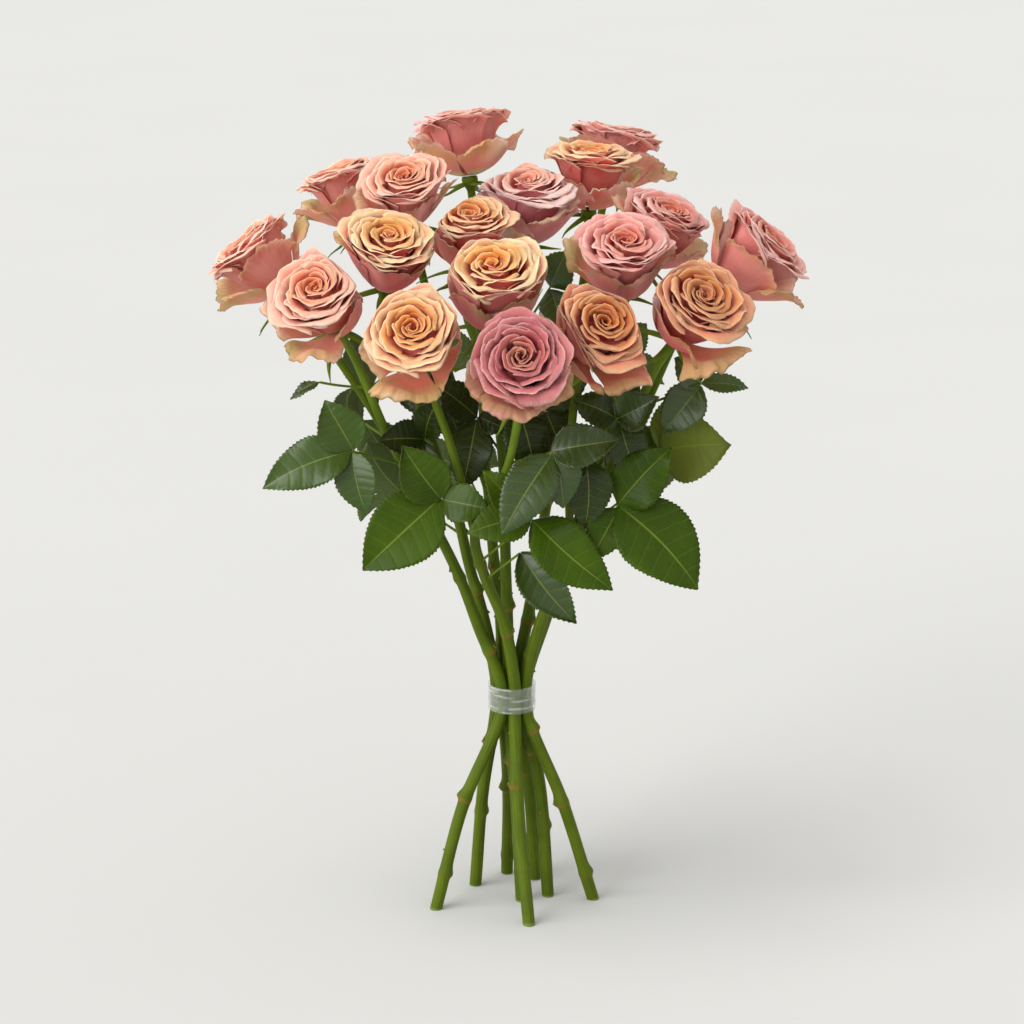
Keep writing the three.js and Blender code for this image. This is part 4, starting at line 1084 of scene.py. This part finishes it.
# %% Leaf material
def leaf_material():
    material, tree, shader = new_material("leaf", Specular_IOR_Level=0.08, Coat_Roughness=0.28,
                                          Subsurface_Weight=0.08, Subsurface_Scale=0.002)
    along, across, side, lot = (mark(tree, name) for name in ("along", "across", "side", "lot"))
    off = maths(tree, "ABSOLUTE", across)
    curved = times(tree, maths(tree, "POWER", off, VEIN_CURVE), VEIN_SLANT)
    slant = times(tree, curved, maths(tree, "SUBTRACT", 1.0, along))
    place_on = maths(tree, "SUBTRACT", times(tree, along, float(VEINS)), slant)
    share = maths(tree, "FRACT", maths(tree, "SUBTRACT", place_on, VEIN_START))
    from_vein = maths(tree, "ABSOLUTE", maths(tree, "SUBTRACT", share, 0.5))
    veins = remap(tree, from_vein, 0.0, 0.045, 1.0, 0.0)
    midrib = remap(tree, off, 0.0, 0.045, 1.0, 0.0)
    net = node(tree, "TexVoronoi", {"Vector": node(tree, "TexCoord").outputs["Object"],
                                    "Scale": 420.0}, feature="DISTANCE_TO_EDGE").outputs[0]
    netting = remap(tree, net, 0.0, 0.25, 1.0, 0.0)
    patches = place(tree, PATCHES, Size=38.0, Low=0.35, High=0.7)
    top = blend(tree, patches, linear("2C4402"), linear("395203"))
    # A higher lot turns the green darker, partly the leaf's own tone and partly painted shade for leaves
    # deep in the bunch
    top = blend(tree, remap(tree, lot, 0.02, 0.2, 1.0, 0.0), top, linear("66742A"))
    top = blend(tree, remap(tree, lot, 0.25, 0.55), top, linear("2E4808"))
    top = blend(tree, remap(tree, lot, 0.55, 0.85), top, linear("1C2606"))
    top = blend(tree, times(tree, netting, 0.12), top, linear("4A600F"))
    top = blend(tree, times(tree, veins, 0.4), top, linear("5A761E"))
    top = blend(tree, times(tree, midrib, 0.6), top, linear("7C8C36"))
    under = blend(tree, times(tree, veins, 0.4), linear("54663A"), linear("6C7C4C"))
    under = blend(tree, times(tree, midrib, 0.8), under, linear("84905C"))
    colour = blend(tree, side, under, top)
    margin = remap(tree, off, 0.96, 1.0)
    colour = blend(tree, times(tree, margin, 0.2), colour, linear("6B4A2C"))
    tree.links.new(colour, shader.inputs["Base Color"])
    rough = remap(tree, side, 0.0, 1.0, 0.68, 0.4)
    tree.links.new(rough, shader.inputs["Roughness"])
    shaded = remap(tree, lot, 0.66, 0.8, 1.0, 0.3)
    gloss = times(tree, remap(tree, lot, 0.25, 0.6, 0.1, 0.85), side)
    gloss = times(tree, gloss, shaded)
    tree.links.new(gloss, shader.inputs["Coat Weight"])
    relief = maths(tree, "ADD", times(tree, netting, -0.4), veins)
    bump(tree, shader, relief, 0.35, 0.0003)
    return material


LEAF = leaf_material()
print("material:", LEAF.name)

# %% Make the stems with their cups and leaves
STEM_SEED = 2000
for number, name in enumerate(STEMS):
    draw = np.random.default_rng(STEM_SEED + number)
    canes = Gather("along", "across", "scar", "cut", "young")
    leaves = Gather("along", "across", "side", "lot")
    add_cane(canes, name, draw)
    for bloom, _ in STEMS[name]["branches"]:
        add_calyx(canes, HEADS[bloom], draw)
    for leaf in LEAVES[name]:
        add_leaf(leaves, canes, PATHS[name], leaf, draw)
    piece("cane_" + name[5:], canes, CANE, "stem_and_leaf", name)
    piece("leaves_" + name[5:], leaves, LEAF, "stem_and_leaf", name)
print(len(STEMS), "stems with", sum(len(rows) for rows in LEAVES.values()), "leaves")

# %% [markdown]
# ## The clear tie
# A short sleeve of clear film holds the stems. Film is never quite smooth, so
# its wall is a closed ring whose radius wavers a little, with rolled lips. The
# stems show through it, and it shows up by its glints and by a few creases that
# run round it, with painted whitish highlights along them.

# %% The sleeve and its film
TIE_SIDES = 120
TIE_INNER_R = 13.8
TIE_WALL = 0.9
TIE_ROWS = 15


def tie_ring(angle, radius, height):
    return np.stack([radius * np.cos(angle), radius * np.sin(angle), np.full(TIE_SIDES, height)], -1)


def tie_gather():
    low, high = TIE_MIDDLE_Z - TIE_HEIGHT / 2, TIE_MIDDLE_Z + TIE_HEIGHT / 2
    heights = np.linspace(low, high, TIE_ROWS)
    angle = np.arange(TIE_SIDES) / TIE_SIDES * 2 * math.pi
    gather = Gather("around", "height")
    rows = []
    for height in heights:
        crease = 0.10 * np.sin(5 * angle + height * 0.9) + 0.06 * np.sin(13 * angle - height * 1.7)
        lip = 0.12 * math.exp(-((min(height - low, high - height) / 0.8) ** 2))
        rows.append(tie_ring(angle, TIE_INNER_R + TIE_WALL - 0.16 + crease + lip, height))
    for height in heights[::-1]:
        inner = TIE_INNER_R + 0.05 + 0.03 * np.sin(7 * angle + height)
        rows.append(tie_ring(angle, inner, height))
    rings = np.stack(rows)
    index = np.arange(rings.shape[0] * TIE_SIDES).reshape(rings.shape[0], TIE_SIDES)
    after, above = np.roll(index, -1, axis=1), np.roll(index, -1, axis=0)
    quads = np.stack([index, after, np.roll(after, -1, axis=0), above], -1).reshape(-1, 4)
    share = (rings[..., 2] - low) / TIE_HEIGHT
    gather.add(rings.reshape(-1, 3), quads, height=share,
               around=np.broadcast_to(np.arange(TIE_SIDES) / TIE_SIDES, share.shape))
    return gather


def tie_material():
    material, tree, shader = new_material("clear film", Roughness=0.2, IOR=1.35,
                                          Transmission_Weight=0.8, Metallic=0.0)
    creases = place(tree, FIBRES, Across=mark(tree, "height"), Along=mark(tree, "around"),
                    Count=7.0, Stretch=4.0)
    # Whitish, more opaque streaks along the creases: painted highlights
    painted_crease_glint = remap(tree, creases, 0.55, 0.95)
    colour = blend(tree, painted_crease_glint, linear("EDEFEC"), linear("FFFFFF"))
    tree.links.new(colour, shader.inputs["Base Color"])
    tree.links.new(remap(tree, painted_crease_glint, 0.0, 1.0, 0.36, 0.85), shader.inputs["Alpha"])
    bump(tree, shader, creases, 0.5, 0.0005)
    return material


piece("tie_sleeve", tie_gather(), tie_material(), "tie", "tie_band")
print("tie sleeve made")

# %% [markdown]
# ## Floor and light
# The bunch stands in a pale studio. A wide plane is enough for a seamless floor,
# because the camera looks down and never sees its edge. An even world light
# fills the shadows. One soft sun from the upper left gives the heads their
# form, and a second, very wide one from the left front lights their faces.

# %% Floor
FLOOR_HALF = 12.0
floor_corners = [(x * FLOOR_HALF, y * FLOOR_HALF, 0) for x, y in ((-1, -1), (1, -1), (1, 1), (-1, 1))]
floor_mesh = bpy.data.meshes.new("studio_floor")
floor_mesh.from_pydata(floor_corners, [], [(0, 1, 2, 3)])
floor = bpy.data.objects.new("studio_floor", floor_mesh)
bpy.context.scene.collection.objects.link(floor)
floor_material, floor_tree, floor_shader = new_material("pale floor", Roughness=1.0,
                                                        Specular_IOR_Level=0.0)
grain = place(floor_tree, PATCHES, Size=3.0, Low=0.3, High=0.7)
floor_tree.links.new(blend(floor_tree, grain, linear("C4C4C2"), linear("C5C5C3")),
                     floor_shader.inputs["Base Color"])
floor.data.materials.append(floor_material)
print("floor", round(2 * FLOOR_HALF), "m across")

# %% Light
WORLD_COLOUR, WORLD_STRENGTH = (1.0, 0.995, 0.98, 1), 0.92
world = bpy.data.worlds.new("studio")
bpy.context.scene.world = world
world.use_nodes = True
background = world.node_tree.nodes["Background"]
background.inputs["Color"].default_value = WORLD_COLOUR
background.inputs["Strength"].default_value = WORLD_STRENGTH


def add_sun(name, strength, stands_at, spread, colour=(1, 1, 1)):
    data = bpy.data.lights.new(name, "SUN")
    data.energy, data.angle, data.color = strength, math.radians(spread), colour
    made = bpy.data.objects.new(name, data)
    bpy.context.scene.collection.objects.link(made)
    made.location = stands_at
    made.rotation_euler = (-Vector(stands_at)).to_track_quat("-Z", "Y").to_euler()


add_sun("key_sun", 0.75, (-0.30, -0.12, 1.0), 22, (1.0, 0.985, 0.96))
add_sun("front_fill", 2.6, (-1.5, -1.0, 0.8), 55)
bpy.context.scene.view_settings.view_transform = "Standard"
print("light set")

# %% [markdown]
# ## The camera
# The photograph looks as if it was taken from about two metres with a long lens,
# looking down by some 16 degrees. The lens follows from how many pixels the
# bunch spans.

# %% Camera
CAMERA_DISTANCE = 2.0
CAMERA_DOWN = math.radians(16)
AIM_HEIGHT = 0.249
PIXELS_PER_RADIAN = 3300
PHOTO_SIDE = 1024
SENSOR = 36
camera_data = bpy.data.cameras.new("camera")
camera_data.sensor_width = SENSOR
camera_data.lens = SENSOR * PIXELS_PER_RADIAN / PHOTO_SIDE
camera = bpy.data.objects.new("camera", camera_data)
bpy.context.scene.collection.objects.link(camera)
camera.location = (ORIGIN[0], ORIGIN[1] - CAMERA_DISTANCE * math.cos(CAMERA_DOWN),
                   AIM_HEIGHT + CAMERA_DISTANCE * math.sin(CAMERA_DOWN))
camera.rotation_euler = (math.pi / 2 - CAMERA_DOWN, 0, 0)
bpy.context.scene.camera = camera
print("lens", round(camera_data.lens), "mm")
